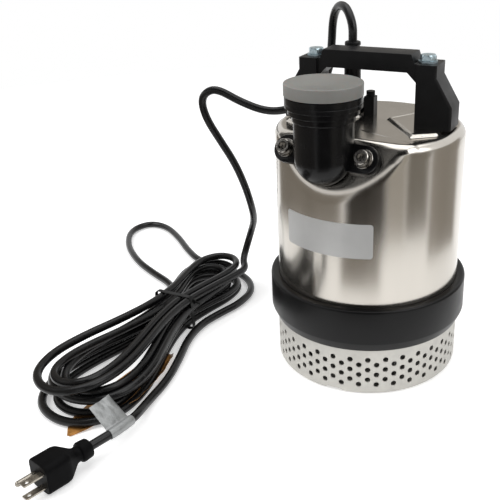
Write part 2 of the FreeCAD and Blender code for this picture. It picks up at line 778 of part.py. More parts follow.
def make_elbow():
    across = -s.port_offset
    along = -PORT_PLACE
    start = s.neck_ball_level
    stages = (
        (s.neck_radius, start, s.collar_foot_level),
        (s.collar_radius, s.collar_foot_level, s.ring_foot_level),
        (s.bell_ring_radius, s.ring_foot_level, s.bell_foot_level),
        (s.bell_radius, s.bell_foot_level, s.bell_rim_level),
    )
    parts = []
    for radius, low, high in stages:
        parts.append(cylinder("elbow_stage", radius, high - low, (across, along, low)))
    ball = doc.addObject("Part::Sphere", "elbow_ball")
    ball.setExpression("Radius", s.neck_radius.text)
    put(ball, (across, along, start))
    parts.append(ball)
    parts.append(flange_form("elbow_flange", s.gasket_thickness, s.flange_thickness))
    solid = fused("elbow_solid", parts)
    bore_ball = doc.addObject("Part::Sphere", "elbow_bore_ball")
    bore_ball.setExpression("Radius", s.port_bore_radius.text)
    put(bore_ball, (across, along, start))
    deep = s.neck_radius * 2
    corner = facet_point(-deep * 1.5, -deep, s.gasket_thickness - deep)
    thread_foot = s.bell_rim_level - s.thread_depth
    tools = [
        bore_ball,
        box("elbow_behind", deep * 3, deep * 2, deep, corner, s.facet_angle),
        cylinder("elbow_bore", s.port_bore_radius, s.bell_rim_level - start, (across, along, start)),
        cylinder("elbow_thread", s.thread_bore_radius, s.thread_depth, (across, along, thread_foot)),
    ]
    keep("discharge_elbow", with_face(cut("discharge_elbow", solid, tools + flange_holes("elbow"))))


def make_elbow_fixings():
    gasket = flange_form("gasket", ZERO, s.gasket_thickness)
    water = face_cylinder("gasket_water", s.port_bore_radius - 1, s.gasket_thickness, 0, 0)
    keep("elbow_gasket", with_face(cut("elbow_gasket", gasket, [water] + flange_holes("gasket"))))
    seat = s.gasket_thickness + s.flange_thickness
    top = seat + s.washer_thickness
    drill = s.bolt_radius + s.fit_clearance
    nut_height = s.bolt_radius * 1.6
    nut_foot = -(s.shell_wall + s.fit_clearance * 2 + nut_height)
    shank_foot = nut_foot - s.bolt_radius
    bolts = []
    washers = []
    nuts = []
    for side in (-1, 1):
        across = s.flange_bolt_spread * side
        shank = face_cylinder("shank", s.bolt_radius, top - shank_foot, across, shank_foot)
        head = face_cylinder("head", s.socket_head_radius, s.socket_head_height, across, top)
        key_place = facet_point(across, s.flange_rise, top + s.socket_head_height - s.socket_depth)
        key = prism("key", s.socket_key, s.socket_depth, key_place, s.facet_angle)
        bolts.append(cut("socket_bolt", fused("socket_blank", [shank, head]), [key]))
        disc = face_cylinder("disc", s.washer_radius, s.washer_thickness, across, seat)
        disc_bore = face_cylinder("disc_bore", drill, s.washer_thickness, across, seat)
        washers.append(cut("washer", disc, [disc_bore]))
        nut = face_cylinder("nut", s.bolt_radius * 1.25, nut_height, across, nut_foot)
        nut_bore = face_cylinder("nut_bore", drill, nut_height, across, nut_foot)
        nuts.append(cut("weld_nut", nut, [nut_bore]))
    keep("elbow_bolts", with_face(group("elbow_bolts", bolts)))
    keep("elbow_washers", with_face(group("elbow_washers", washers)))
    keep("elbow_nuts", with_face(group("elbow_nuts", nuts)))


def make_cap():
    inside = s.bell_radius + s.seat_clearance
    outside = inside + s.cap_wall
    seat = s.bell_rim_level + s.seat_clearance
    top = seat + s.cap_wall
    foot = top - s.cap_skirt
    corners = ((ZERO, seat), (inside, seat), (inside, foot), (outside, foot), (outside, top), (ZERO, top))
    body = turned("discharge_cap", corners, (PORT_ACROSS, PORT_ALONG, ZERO))
    soften(body, s.cap_wall * 0.8, lambda edge: is_ring(edge, top, outside), "Chamfer")
    keep("discharge_cap", body)


# Handle and its bolts


def outer_handle_edge(edge):
    """Whether an edge runs along the outside of a leg, front or back."""
    middle = edge.CenterOfMass
    outside = abs(middle.x) > s.handle_bolt_spread.number + s.bolt_radius.number
    at_side = abs(abs(middle.y) - s.handle_leg_depth.number / 2) < 0.01
    return outside and at_side and middle.z > PAD_LEVEL.number + 1


def make_handle():
    body = new_body("handle")
    sketch = sketch_on(body, "XZ_Plane", -s.handle_leg_depth / 2)
    under = s.handle_bar_level - s.handle_bar_height
    half = (
        (s.handle_leg_inner, PAD_LEVEL),
        (s.handle_foot_reach, PAD_LEVEL),
        (s.handle_foot_reach, s.handle_flare_level),
        (s.handle_shoulder_reach, s.handle_flare_top),
        (s.handle_shoulder_reach, s.handle_shoulder_level),
        (s.handle_bar_end, s.handle_shoulder_level),
        (s.handle_bar_end - 3, s.handle_bar_level),
    )
    gusset = ((s.handle_leg_inner - s.handle_corner, under), (s.handle_leg_inner, under - s.handle_corner))
    mirrored = [(-across, level) for across, level in half]
    left_gusset = [(-across, level) for across, level in gusset]
    outline(sketch, list(half) + mirrored[::-1] + [left_gusset[1], left_gusset[0], gusset[0], gusset[1]])
    pad(body, sketch, s.handle_leg_depth)
    near = s.handle_bar_depth / 2
    far = s.handle_leg_depth
    reach = s.handle_leg_inner
    sides = sketch_on(body, "XY_Plane", under - s.handle_corner)
    for side in (1, -1):
        low = near * side
        high = far * side
        outline(sides, ((-reach, low), (reach, low), (reach, high), (-reach, high)))
    pocket(body, sides, s.handle_bar_height + s.handle_corner, reverse=True)
    for across in HANDLE_BOLT_PLACES:
        hole = sketch_on(body, "XY_Plane", PAD_LEVEL)
        ring(hole, across, ZERO, s.bolt_radius + s.fit_clearance)
        pocket(body, hole, s.handle_bar_level - PAD_LEVEL, reverse=True)
    soften(body, s.handle_round, outer_handle_edge)
    keep("handle", body)


def make_handle_fixings():
    bolts = []
    washers = []
    for across in HANDLE_BOLT_PLACES:
        seat = s.handle_shoulder_level
        top = seat + s.washer_thickness
        tip = (across, 0, top - s.handle_bolt_length)
        shank = cylinder("shank", s.bolt_radius, s.handle_bolt_length, tip)
        head = prism("hex_head", s.hex_head_width, s.hex_head_height, (across, 0, top))
        bolts.append(fused("hex_bolt", [shank, head]))
        disc = cylinder("disc", s.washer_radius, s.washer_thickness, (across, 0, seat))
        drill = cylinder("disc_bore", s.bolt_radius + s.fit_clearance, s.washer_thickness, (across, 0, seat))
        washers.append(cut("washer", disc, [drill]))
    keep("handle_bolts", group("handle_bolts", bolts))
    keep("handle_washers", group("handle_washers", washers))


def make_cord_entry():
    top = s.boot_top_level
    collar_foot = top - s.boot_collar_height
    neck_foot = collar_foot - s.boot_collar_height
    place = (-s.boot_offset, s.boot_place, ZERO)
    body = turned(
        "cable_boot",
        (
            (ZERO, COVER_TOP),
            (s.boot_radius, COVER_TOP),
            (s.boot_radius, neck_foot),
            (s.boot_neck_radius, neck_foot),
            (s.boot_neck_radius, collar_foot),
            (s.boot_collar_radius, collar_foot),
            (s.boot_collar_radius, top),
            (ZERO, top),
        ),
        place,
    )
    keep("cable_boot", body)
    inside = s.boot_radius + s.fit_clearance
    nut = turned(
        "gland_nut",
        (
            (inside, PAD_LEVEL),
            (s.gland_radius, PAD_LEVEL),
            (s.gland_radius, PAD_LEVEL + s.gland_height * 0.8),
            (inside + 2, PAD_LEVEL + s.gland_height),
            (inside, PAD_LEVEL + s.gland_height),
        ),
        place,
    )
    keep("gland_nut", nut)
    width = s.vent_width
    corner = (-s.vent_offset - width / 2, s.vent_place - width / 2, s.deck_level)
    block = box("vent_block", width, width, s.vent_height, corner)
    foot = (-s.vent_offset, s.vent_place, s.deck_level + s.vent_height)
    nub = cylinder("vent_nub", s.vent_nub_radius, s.vent_nub_height, foot)
    keep("vent_plug", fused("vent_plug", [block, nub]))


# Pump stage under the shell


def drill(body, level, places, radius, depth, upward=True):
    """Round pockets from a level into the body at each place."""
    sketch = sketch_on(body, "XY_Plane", level)
    for across, along in places:
        ring(sketch, across, along, radius)
    return pocket(body, sketch, depth, reverse=upward)


def make_suction_plate():
    foot = s.casing_foot_level - s.suction_plate_thickness
    body = turned(
        "suction_plate",
        (
            (s.suction_eye_radius, foot),
            (CASING_RADIUS, foot),
            (CASING_RADIUS, s.casing_foot_level),
            (s.suction_eye_radius, s.casing_foot_level),
        ),
    )
    thick = s.suction_plate_thickness
    drill(body, foot, spots(4, s.post_circle, 45), s.arm_bolt_radius + s.fit_clearance, thick)
    drill(body, foot, spots(6, PLATE_CIRCLE, 15), s.plate_screw_radius + s.fit_clearance, thick)
    keep("suction_plate", body)
    screws = []
    for across, along in spots(6, PLATE_CIRCLE, 15):
        shank = cylinder("plate_shank", s.plate_screw_radius, s.plate_screw_length, (across, along, foot))
        head_foot = foot - s.plate_screw_head_height
        place = (across, along, head_foot)
        head = cylinder("plate_head", s.plate_screw_head, s.plate_screw_head_height, place)
        screws.append(fused("plate_screw", [shank, head]))
    keep("plate_screws", group("plate_screws", screws))


def make_casing():
    inner = CASING_RADIUS - s.casing_wall
    lip = FLANGE_RADIUS - s.casing_flange_width
    body = turned(
        "pump_casing",
        (
            (inner, s.casing_foot_level),
            (CASING_RADIUS, s.casing_foot_level),
            (CASING_RADIUS, CASING_SHELF),
            (FLANGE_RADIUS, CASING_SHELF),
            (FLANGE_RADIUS, s.casing_top_level),
            (lip, s.casing_top_level),
            (lip, CASING_SHELF),
            (inner, CASING_SHELF),
        ),
    )
    depth = s.plate_screw_length - s.suction_plate_thickness
    plate_drill = s.plate_screw_radius + s.fit_clearance
    drill(body, s.casing_foot_level, spots(6, PLATE_CIRCLE, 15), plate_drill, depth)
    arm_drill = s.arm_bolt_radius + s.fit_clearance
    drill(body, s.casing_top_level, spots(4, ARM_CIRCLE, 0), arm_drill, s.arm_bolt_depth, False)
    keep("pump_casing", body)


def blade_corners():
    """Corners of one backward curved blade, seen from above."""
    first = s.impeller_hub_radius - 0.5
    last = s.impeller_radius - 2
    steps = 6
    front = []
    back = []
    for index in range(steps + 1):
        share = index / steps
        turn = -math.radians(70.0 * share ** 0.8)
        reach = first + (last - first) * share
        half = s.impeller_blade_thickness / 2
        lean = turn - math.radians(50.0)
        across = reach * math.cos(turn)
        along = reach * math.sin(turn)
        front.append((across - half * math.sin(lean), along + half * math.cos(lean)))
        back.append((across + half * math.sin(lean), along - half * math.cos(lean)))
    return front + back[::-1]


def make_impeller():
    bore = s.shaft_radius + s.fit_clearance
    top = SHROUD_FOOT + s.impeller_shroud
    body = turned(
        "impeller",
        (
            (bore, HUB_FOOT),
            (s.impeller_hub_radius, HUB_FOOT),
            (s.impeller_hub_radius, SHROUD_FOOT),
            (s.impeller_radius, SHROUD_FOOT),
            (s.impeller_radius, top),
            (bore, top),
        ),
    )
    sketch = sketch_on(body, "XY_Plane", BLADE_FOOT)
    outline(sketch, blade_corners())
    blade = pad(body, sketch, s.impeller_blade_height + s.impeller_gap)
    around(body, blade, s.impeller_blade_count)
    keep("impeller", body)
    washer_foot = HUB_FOOT - s.impeller_washer_thickness
    nut_foot = washer_foot - s.nut_height
    thread = s.nut_bore_radius + s.fit_clearance
    thick = s.impeller_washer_thickness
    disc = cylinder("impeller_disc", s.impeller_washer_radius, thick, (0, 0, washer_foot))
    disc_bore = cylinder("impeller_disc_bore", thread, thick, (0, 0, washer_foot))
    keep("impeller_washer", cut("impeller_washer", disc, [disc_bore]))
    nut = prism("impeller_hex", s.nut_radius * 2, s.nut_height, (0, 0, nut_foot))
    nut_bore = cylinder("impeller_hex_bore", thread, s.nut_height, (0, 0, nut_foot))
    keep("impeller_nut", cut("impeller_nut", nut, [nut_bore]))
    shaft = turned(
        "shaft",
        (
            (ZERO, nut_foot - 1),
            (s.nut_bore_radius, nut_foot - 1),
            (s.nut_bore_radius, HUB_FOOT + s.fit_clearance),
            (s.shaft_radius, HUB_FOOT + s.fit_clearance),
            (s.shaft_radius, BRACKET_ROOM),
            (ZERO, BRACKET_ROOM),
        ),
    )
    keep("shaft", shaft)


def tube(name, inner, outer, foot, height):
    """Plain ring about the pump axis."""
    body = turned(name, ((inner, foot), (outer, foot), (outer, foot + height), (inner, foot + height)))
    keep(name, body)


def make_oil_chamber():
    seat_bore = s.seal_seat_radius + s.fit_clearance
    floor_top = s.oil_foot_level + s.oil_floor
    inner = s.motor_radius - s.oil_wall
    body = turned(
        "oil_chamber",
        (
            (seat_bore, s.oil_foot_level),
            (s.motor_radius, s.oil_foot_level),
            (s.motor_radius, s.oil_top_level),
            (inner, s.oil_top_level),
            (inner, floor_top),
            (seat_bore, floor_top),
        ),
    )
    arm = sketch_on(body, "XY_Plane", s.casing_top_level)
    reach = s.shell_radius - s.shell_wall - s.cover_gap * 2
    start = s.motor_radius - s.oil_wall / 2
    half = s.arm_width / 2
    outline(arm, ((start, -half), (reach, -half), (reach, half), (start, half)))
    solid_arm = pad(body, arm, s.arm_height)
    around(body, solid_arm, as_size(4))
    top = s.casing_top_level + s.arm_height
    clear = s.arm_bolt_radius + s.fit_clearance
    drill(body, top, spots(4, ARM_CIRCLE, 0), clear, s.arm_height, False)
    drill(body, s.oil_top_level, STUD_SPOTS, s.stud_radius + s.fit_clearance, STUD_DEPTH, False)
    keep("oil_chamber", body)
    screws = []
    foot = s.casing_top_level - s.arm_bolt_depth
    for across, along in spots(4, ARM_CIRCLE, 0):
        shank = cylinder("chamber_shank", s.arm_bolt_radius, top - foot, (across, along, foot))
        head = cylinder("chamber_head", s.arm_bolt_head, s.arm_bolt_head_height, (across, along, top))
        screws.append(fused("chamber_screw", [shank, head]))
    keep("chamber_screws", group("chamber_screws", screws))


def make_seal():
    inner = s.shaft_radius + s.cover_gap
    tube("seal_seat", inner, s.seal_seat_radius, s.oil_foot_level, s.seal_seat_height)
    ring_foot = s.oil_foot_level + s.seal_seat_height + s.fit_clearance
    tube("seal_ring", s.shaft_radius + s.fit_clearance, s.seal_ring_radius, ring_foot, s.seal_ring_height)


# Motor


def make_brackets():
    shoulder = BRACKET_TOP - s.spigot_height
    lip_top = s.oil_top_level + s.bearing_lip
    seat = s.lower_bearing_radius + s.fit_clearance
    body = turned(
        "bearing_bracket",
        (
            (s.bearing_lip_radius, s.oil_top_level),
            (s.motor_radius, s.oil_top_level),
            (s.motor_radius, shoulder),
            (SPIGOT, shoulder),
            (SPIGOT, BRACKET_TOP),
            (seat, BRACKET_TOP),
            (seat, lip_top),
            (s.bearing_lip_radius, lip_top),
        ),
    )
    drill(body, s.oil_top_level, STUD_SPOTS, s.stud_radius + s.fit_clearance, shoulder - s.oil_top_level)
    keep("bearing_bracket", body)
    upper_seat = s.upper_bearing_radius + s.fit_clearance
    boss = upper_seat + s.bearing_boss_wall
    upper = turned(
        "upper_bracket",
        (
            (upper_seat, UPPER_BEARING_FOOT),
            (boss, UPPER_BEARING_FOOT),
            (boss, s.upper_bracket_level),
            (SPIGOT, s.upper_bracket_level),
            (SPIGOT, BRACKET_ROOM),
            (upper_seat, BRACKET_ROOM),
        ),
    )
    wires = spots(2, s.wire_hole_circle, 0)
    drill(upper, s.upper_bracket_level, wires, s.wire_hole_radius, s.upper_bracket_thickness)
    keep("upper_bracket", upper)


def make_bearings():
    inner = s.shaft_radius + s.fit_clearance
    for name, outside, foot, width in (
        ("lower_bearing", s.lower_bearing_radius, s.oil_top_level + s.bearing_lip, s.lower_bearing_width),
        ("upper_bearing", s.upper_bearing_radius, UPPER_BEARING_FOOT, s.upper_bearing_width),
    ):
        tube(f"{name}_outer_ring", outside - s.race_wall, outside, foot, width)
        tube(f"{name}_inner_ring", inner, inner + s.race_wall, foot, width)


def make_motor():
    inner = s.motor_radius - s.motor_wall
    foot = BRACKET_TOP - s.spigot_height
    top = s.cover_level - s.gasket_height
    corners = ((inner, foot), (s.motor_radius, foot), (s.motor_radius, top), (inner, top))
    housing = turned("motor_housing", corners)
    clear = s.stud_radius + s.fit_clearance
    drill(housing, foot, STUD_SPOTS, clear, s.stud_length - STUD_DEPTH - (foot - s.oil_top_level))
    drill(housing, top, STUD_SPOTS, clear, UPPER_STUD_DEPTH, False)
    keep("motor_housing", housing)
    tube("stator_core", s.stator_bore_radius, SPIGOT, s.stator_foot_level, s.stator_length)
    windings = []
    for level in (s.stator_foot_level - s.winding_height, STATOR_TOP):
        coil = cylinder("coil", s.winding_radius, s.winding_height, (0, 0, level))
        eye = cylinder("coil_eye", s.stator_bore_radius + 2, s.winding_height, (0, 0, level))
        windings.append(cut("end_turn", coil, [eye]))
    keep("stator_windings", group("stator_windings", windings))
    bore = s.shaft_radius + s.fit_clearance
    outside = s.stator_bore_radius - s.air_gap
    end = outside - 3
    rotor = turned(
        "rotor_core",
        (
            (bore, s.stator_foot_level - s.end_ring_height),
            (end, s.stator_foot_level - s.end_ring_height),
            (end, s.stator_foot_level),
            (outside, s.stator_foot_level),
            (outside, STATOR_TOP),
            (end, STATOR_TOP),
            (end, STATOR_TOP + s.end_ring_height),
            (bore, STATOR_TOP + s.end_ring_height),
        ),
    )
    keep("rotor_core", rotor)
    lowest = s.oil_top_level - STUD_DEPTH
    highest = s.cover_level - s.gasket_height - UPPER_STUD_DEPTH
    studs = [
        cylinder("stud", s.stud_radius, s.stud_length, (across, along, level))
        for level in (lowest, highest)
        for across, along in STUD_SPOTS
    ]
    keep("motor_studs", group("motor_studs", studs))


def make_electrics():
    rest = BRACKET_ROOM + s.fit_clearance
    half = s.capacitor_length / 2
    keep(
        "capacitor",
        cylinder(
            "capacitor",
            s.capacitor_radius,
            s.capacitor_length,
            (-half, s.capacitor_place, rest + s.capacitor_radius),
            as_size(90),
            Vector(0, 1, 0),
        ),
    )
    place = (-s.protector_length / 2, -s.wire_hole_circle, rest)
    keep(
        "thermal_protector",
        box("thermal_protector", s.protector_length, s.protector_width, s.protector_height, place),
    )


def make_cover():
    outside = s.motor_radius
    foot = s.cover_level
    body = turned("top_cover", ((ZERO, foot), (outside, foot), (outside, COVER_TOP), (ZERO, COVER_TOP)))
    soften(body, s.cover_bevel, lambda edge: is_ring(edge, COVER_TOP, s.motor_radius), "Chamfer")
    ears = sketch_on(body, "XY_Plane", s.cover_level)
    for across in HANDLE_BOLT_PLACES:
        ring(ears, across, ZERO, s.cover_ear_radius)
    thick = COVER_TOP - s.cover_level
    pad(body, ears, thick)
    centres = [(across, ZERO) for across in HANDLE_BOLT_PLACES]
    drill(body, s.cover_level, centres, s.bolt_radius + s.fit_clearance, thick)
    drill(body, s.cover_level, STUD_SPOTS, s.stud_radius + s.fit_clearance, thick)
    drill(body, s.cover_level, [(-s.boot_offset, s.boot_place)], s.wire_hole_radius, thick)
    keep("top_cover", body)
    foot = s.cover_level - s.gasket_height
    inner = s.motor_radius - s.motor_wall
    corners = ((inner, foot), (outside, foot), (outside, s.cover_level), (inner, s.cover_level))
    ring_body = turned("cover_gasket", corners)
    drill(ring_body, foot, STUD_SPOTS, s.stud_radius + s.fit_clearance, s.gasket_height)
    keep("cover_gasket", ring_body)


# Cord: a free lead, a tied hank of turns, and a tail to the plug


def polygon_at(place, along, radius, sides):
    """Closed wire of a regular polygon square to a direction."""
    along = Vector(along).normalize()
    side = along.cross(Vector(0, 0, 1))
    if side.Length < 0.1:
        side = along.cross(Vector(0, 1, 0))
    side.normalize()
    other = along.cross(side)
    corners = []
    for index in range(sides + 1):
        turn = 2 * math.pi * (index + 0.5) / sides
        corners.append(place + side * (radius * math.cos(turn)) + other * (radius * math.sin(turn)))
    corners[-1] = corners[0]
    return Part.makePolygon(corners)


def rounded_route(points):
    """Straight runs joined by tangent arcs; gives the edges and the radii of the arcs."""
    edges = []
    radii = []
    here = points[0]
    for before, corner, after in zip(points, points[1:], points[2:]):
        inward = corner - before
        outward = after - corner
        reach = 0.45 * min(inward.Length, outward.Length)
        inward = inward.normalize()
        outward = outward.normalize()
        half = inward.getAngle(outward) / 2
        radius = reach / math.tan(half)
        start = corner - inward * reach
        stop = corner + outward * reach
        bisector = (outward - inward).normalize()
        middle = corner + bisector * (radius / math.cos(half) - radius)
        edges.append(Part.makeLine(here, start))
        edges.append(Part.Arc(start, middle, stop).toShape())
        here = stop
        radii.append(radius)
    edges.append(Part.makeLine(here, points[-1]))
    return edges, radii


def sweep(name, edges, sides):
    """Solid tube of a many sided section along a run of edges."""
    wire = Part.Wire(edges)
    first = edges[0]
    along = first.tangentAt(first.FirstParameter)
    place = first.valueAt(first.FirstParameter)
    radius = s.cord_diameter.number / 2
    solid = wire.makePipeShell([polygon_at(place, along, radius, sides)], True, False)
    area = sides * radius * radius * math.sin(2 * math.pi / sides) / 2
    if abs(solid.Volume / (area * wire.Length) - 1) > 0.03:
        raise ValueError(f"{name}: the tube's volume does not fit its length")
    item = doc.addObject("Part::Feature", name)
    item.Shape = solid
    keep(name, item)
    print(name, "length", round(wire.Length), "mm")
    return item


def along_route(name, points, sides):
    edges, radii = rounded_route(points)
    print(name, "arc radii", [round(radius, 1) for radius in radii])
    sweep(name, edges, sides)


def hank_turn_and_layer(run):
    """How many steps out and how many layers up the cord lies after a number of turns."""
    wide = s.hank_turns.number
    start = 0.0
    for layer in range(HANK_LAYERS):
        if run <= start + wide + 1e-9:
            inner = run - start
            return (wide - inner if layer % 2 == 0 else inner), HANK_LAYERS - 1 - layer
        start += wide
        if run <= start + CLIMB:
            part = (run - start) / CLIMB
            drop = math.sin(math.pi * part / 2) ** 2
            return (0.0 if layer % 2 == 0 else wide), HANK_LAYERS - 1 - layer - drop
        start += CLIMB
    return wide, 0


def hank_place(run):
    """Centre of the cord in the hank after a number of turns."""
    angle = math.radians(s.hank_start.number) + 2 * math.pi * run

    def loop(turn):
        open_share = math.cos(turn) - s.hank_waist_place.number
        side = 1 if open_share > 0 else -1
        lobe = s.hank_lobe.number if side > 0 else s.hank_lobe_front.number
        half_width = s.hank_waist.number + lobe * (open_share / (1 - side * s.hank_waist_place.number)) ** 2
        return Vector(math.sin(turn) * half_width, s.hank_half_length.number * math.cos(turn), 0)

    forward = (loop(angle + 0.0001) - loop(angle - 0.0001)).normalize()
    outward = Vector(-forward.y, forward.x, 0)
    steps, layer = hank_turn_and_layer(run)
    openness = min(1.0, abs(math.cos(angle) - s.hank_waist_place.number))
    step = s.hank_step_waist.number + (s.hank_step_end - s.hank_step_waist).number * openness
    level = s.floor_gap.number + s.cord_diameter.number / 2 + s.hank_layer.number * layer
    middle = Vector(s.hank_place_x.number, s.hank_place_y.number, level)
    return middle + loop(angle) + outward * (steps * step)


def hank_heading(run):
    return (hank_place(run + 0.0001) - hank_place(run - 0.0001)).normalize()


def arc_between(start, corner, stop):
    """Arc tangent to both sides of a corner that lies as far from one end as from the other."""
    middle = (start + stop) / 2
    share = (stop - start).Length / 2 / (corner - start).Length
    bulge = (corner - middle) * (share / (1 + share))
    if bulge.Length < 0.002:
        return Part.makeLine(start, stop)
    return Part.Arc(start, middle + bulge, stop).toShape()


def two_arcs(start, heading, stop, leaving):
    """Two tangent arcs from one place and heading to another."""
    span = stop - start
    both = heading + leaving
    spread = 2 * (1 - heading.dot(leaving))
    lean = span.dot(both)
    if spread < 1e-7:
        reach = span.dot(span) / (2 * lean)
    else:
        reach = (-lean + math.sqrt(lean * lean + spread * span.dot(span))) / spread
    first = start + heading * reach
    second = stop - leaving * reach
    joint = (first + second) / 2
    return [arc_between(start, first, joint), arc_between(joint, second, stop)]


def least_gap(points, skip, diameter):
    """Smallest distance between turns of the cord, surface to surface, from points along it."""
    walked = [0.0]
    for before, after in zip(points, points[1:]):
        walked.append(walked[-1] + (after - before).Length)
    least = 1e9
    for index, place in enumerate(points):
        for other in range(index + 1, len(points)):
            if walked[other] - walked[index] > skip:
                least = min(least, (points[other] - place).Length)
    return least - diameter


def make_hank():
    turns = HANK_LAYERS * s.hank_turns.number + (HANK_LAYERS - 1) * CLIMB
    count = round(turns * 8)
    runs = [turns * index / count for index in range(count + 1)]
    places = [hank_place(run) for run in runs]
    headings = [hank_heading(run) for run in runs]
    headings[0].z = 0.0
    headings[-1].z = 0.0
    stub = s.cord_diameter.number
    start = places[0] - headings[0] * stub
    stop = places[-1] + headings[-1] * stub
    edges = [Part.makeLine(start, places[0])]
    for index in range(count):
        edges += two_arcs(places[index], headings[index], places[index + 1], headings[index + 1])
    edges.append(Part.makeLine(places[-1], stop))
    close = [hank_place(turns * index / 560) for index in range(561)]
    gap = least_gap(close, 5 * stub, stub)
    print("cord_hank least gap between turns", round(gap, 2), "mm")
    if gap < 0.4:
        raise ValueError("turns of the hank touch")
    sweep("cord_hank", edges, 6)
    return start, headings[0], stop, headings[-1]


def make_cord():
    hank_in, heading_in, hank_out, heading_out = make_hank()
    top = s.boot_top_level.number
    boot = Vector(-s.boot_offset.number, s.boot_place.number, top)
    lead = [boot, boot + Vector(0, 0, 15)]
    lead += [Vector(*place) for place in LEAD_ROUTE]
    lead += [hank_in - heading_in * 16, hank_in]
    along_route("cord_lead", lead, 8)
    tail = [hank_out, hank_out + heading_out * 16]
    level = s.floor_gap.number + s.cord_diameter.number / 2
    tail += [Vector(across, along, level) for across, along in TAIL_ROUTE]
    rear = Vector(*PLUG_REAR)
    tail += [rear - PLUG_AXIS * 44, rear]
    along_route("cord_tail", tail, 8)


def make_tie():
    """Band round the waist of the hank."""
    reach = s.hank_waist + s.hank_turns * s.hank_step_waist + s.cord_diameter / 2 + s.tie_gap
    low = s.floor_gap - s.tie_gap
    high = s.floor_gap + s.hank_layer * (HANK_LAYERS - 1) + s.cord_diameter + s.tie_gap
    along = s.hank_place_y + s.hank_half_length * s.hank_waist_place - s.tie_width / 2
    thick = s.tie_thickness
    inner = box("tie_inside", reach * 2, s.tie_width, high - low, (s.hank_place_x - reach, along, low))
    outer = box(
        "tie_outside",
        (reach + thick) * 2,
        s.tie_width,
        high - low + thick * 2,
        (s.hank_place_x - reach - thick, along, low - thick),
    )
    keep("cord_tie", cut("cord_tie", outer, [inner]))


# Plug and labels


def rounded_section(width, height, corner, level):
    """Closed wire of a rectangle with rounded corners, level in its own frame."""
    across = width / 2 - corner
    up = height / 2 - corner
    lean = corner * math.sqrt(0.5)
    edges = []
    for side_x, side_y in ((1, 1), (-1, 1), (-1, -1), (1, -1)):
        centre = Vector(side_x * across, side_y * up, level)
        right = centre + Vector(side_x * corner, 0, 0)
        top = centre + Vector(0, side_y * corner, 0)
        middle = centre + Vector(side_x * lean, side_y * lean, 0)
        edges.append((right, middle, top) if side_x == side_y else (top, middle, right))
    lines = []
    for index, (start, middle, stop) in enumerate(edges):
        lines.append(Part.Arc(start, middle, stop).toShape())
        following = edges[(index + 1) % 4][0]
        lines.append(Part.makeLine(stop, following))
    return Part.Wire(lines)


def plug_place():
    """Placement that turns local Z to the plug's axis, local X to the side and local Y up."""
    side = PLUG_AXIS.cross(Vector(0, 0, 1))
    turn = FreeCAD.Rotation(side, Vector(0, 0, 1), PLUG_AXIS, "ZXY")
    return FreeCAD.Placement(Vector(*PLUG_REAR), turn)


def make_plug():
    length = s.plug_length.number
    width = s.plug_face_width.number
    height = s.plug_face_height.number
    sections = [
        rounded_section(width * share_x, height * share_y, corner, length * level)
        for level, share_x, share_y, corner in PLUG_SECTIONS
    ]
    body = doc.addObject("Part::Feature", "plug_body")
    body.Shape = Part.makeLoft(sections, True, True)
    body.Placement = plug_place()
    keep("plug_body", body)
    blades = []
    for side in (-1, 1):
        blade = Part.makeBox(s.blade_width.number, s.blade_thickness.number, s.blade_length.number)
        centre = Vector(
            -s.ground_pin_offset.number / 2 - s.blade_width.number / 2,
            side * s.blade_spacing.number / 2 - s.blade_thickness.number / 2,
            length,
        )
        blade.translate(centre)
        place = Vector(-s.ground_pin_offset.number / 2, centre.y - 2, length + 13.5)
        hole = Part.makeCylinder(1.6, 6, place, Vector(0, 1, 0))
        blades.append(blade.cut(hole))
    item = doc.addObject("Part::Feature", "plug_blades")
    item.Shape = Part.makeCompound(blades)
    item.Placement = plug_place()
    keep("plug_blades", item)
    radius = s.ground_pin_radius.number
    across = s.ground_pin_offset.number / 2
    pin_shape = Part.makeCylinder(radius, s.ground_pin_length.number - radius, Vector(across, 0, length))
    place = Vector(across, 0, length + s.ground_pin_length.number - radius)
    tip = Part.makeCone(radius, radius * 0.5, radius, place)
    item = doc.addObject("Part::Feature", "plug_ground_pin")
    item.Shape = pin_shape.fuse(tip)
    item.Placement = plug_place()
    keep("plug_ground_pin", item)


def make_labels():
    along = Vector(PLUG_AXIS)
    inner = s.cord_diameter.number / 2 + 0.8
    thick = s.flag_thickness.number
    width = s.flag_width.number
    middle = Vector(*PLUG_REAR) - along * (FLAG_BACK + width / 2)
    sleeve = Part.makeCylinder(inner + thick, width).cut(Part.makeCylinder(inner, width))
    plate = Part.makeBox(s.flag_length.number, thick, width, Vector(inner + thick / 4, -thick / 2, 0))
    item = doc.addObject("Part::Feature", "cord_tag")
    item.Shape = sleeve.fuse(plate)
    outward = Vector(*FLAG_SIDE)
    turn = FreeCAD.Rotation(outward, Vector(0, 0, 1), along, "ZXY")
    item.Placement = FreeCAD.Placement(middle, turn)
    keep("cord_tag", item)
    across, along_y = PAPER_PLACE
    paper = box("paper_tag", s.paper_width, s.paper_length, s.paper_thickness, (across, along_y, 0))
    keep("paper_tag", paper)


# Checks and files


def check_and_write():
    doc.recompute()
    for item in doc.Objects:
        if any(word in state for state in item.State for word in ("Invalid", "Error")):
            raise ValueError(f"{item.Name}: {item.State}")
        if hasattr(item, "Shape") and not item.Name.startswith("Origin"):
            shape = item.Shape
            if item.isDerivedFrom("App::OriginFeature"):
                continue
            if shape.isNull() or not shape.isValid():
                raise ValueError(f"{item.Name}: its shape is null or not valid")
    os.makedirs("parts", exist_ok=True)
    for node, item in NODES.items():
        shape = item.Shape
        if not shape.Solids:
            raise ValueError(f"{node}: no solid")
        shape.exportStep(f"parts/{node}.step")


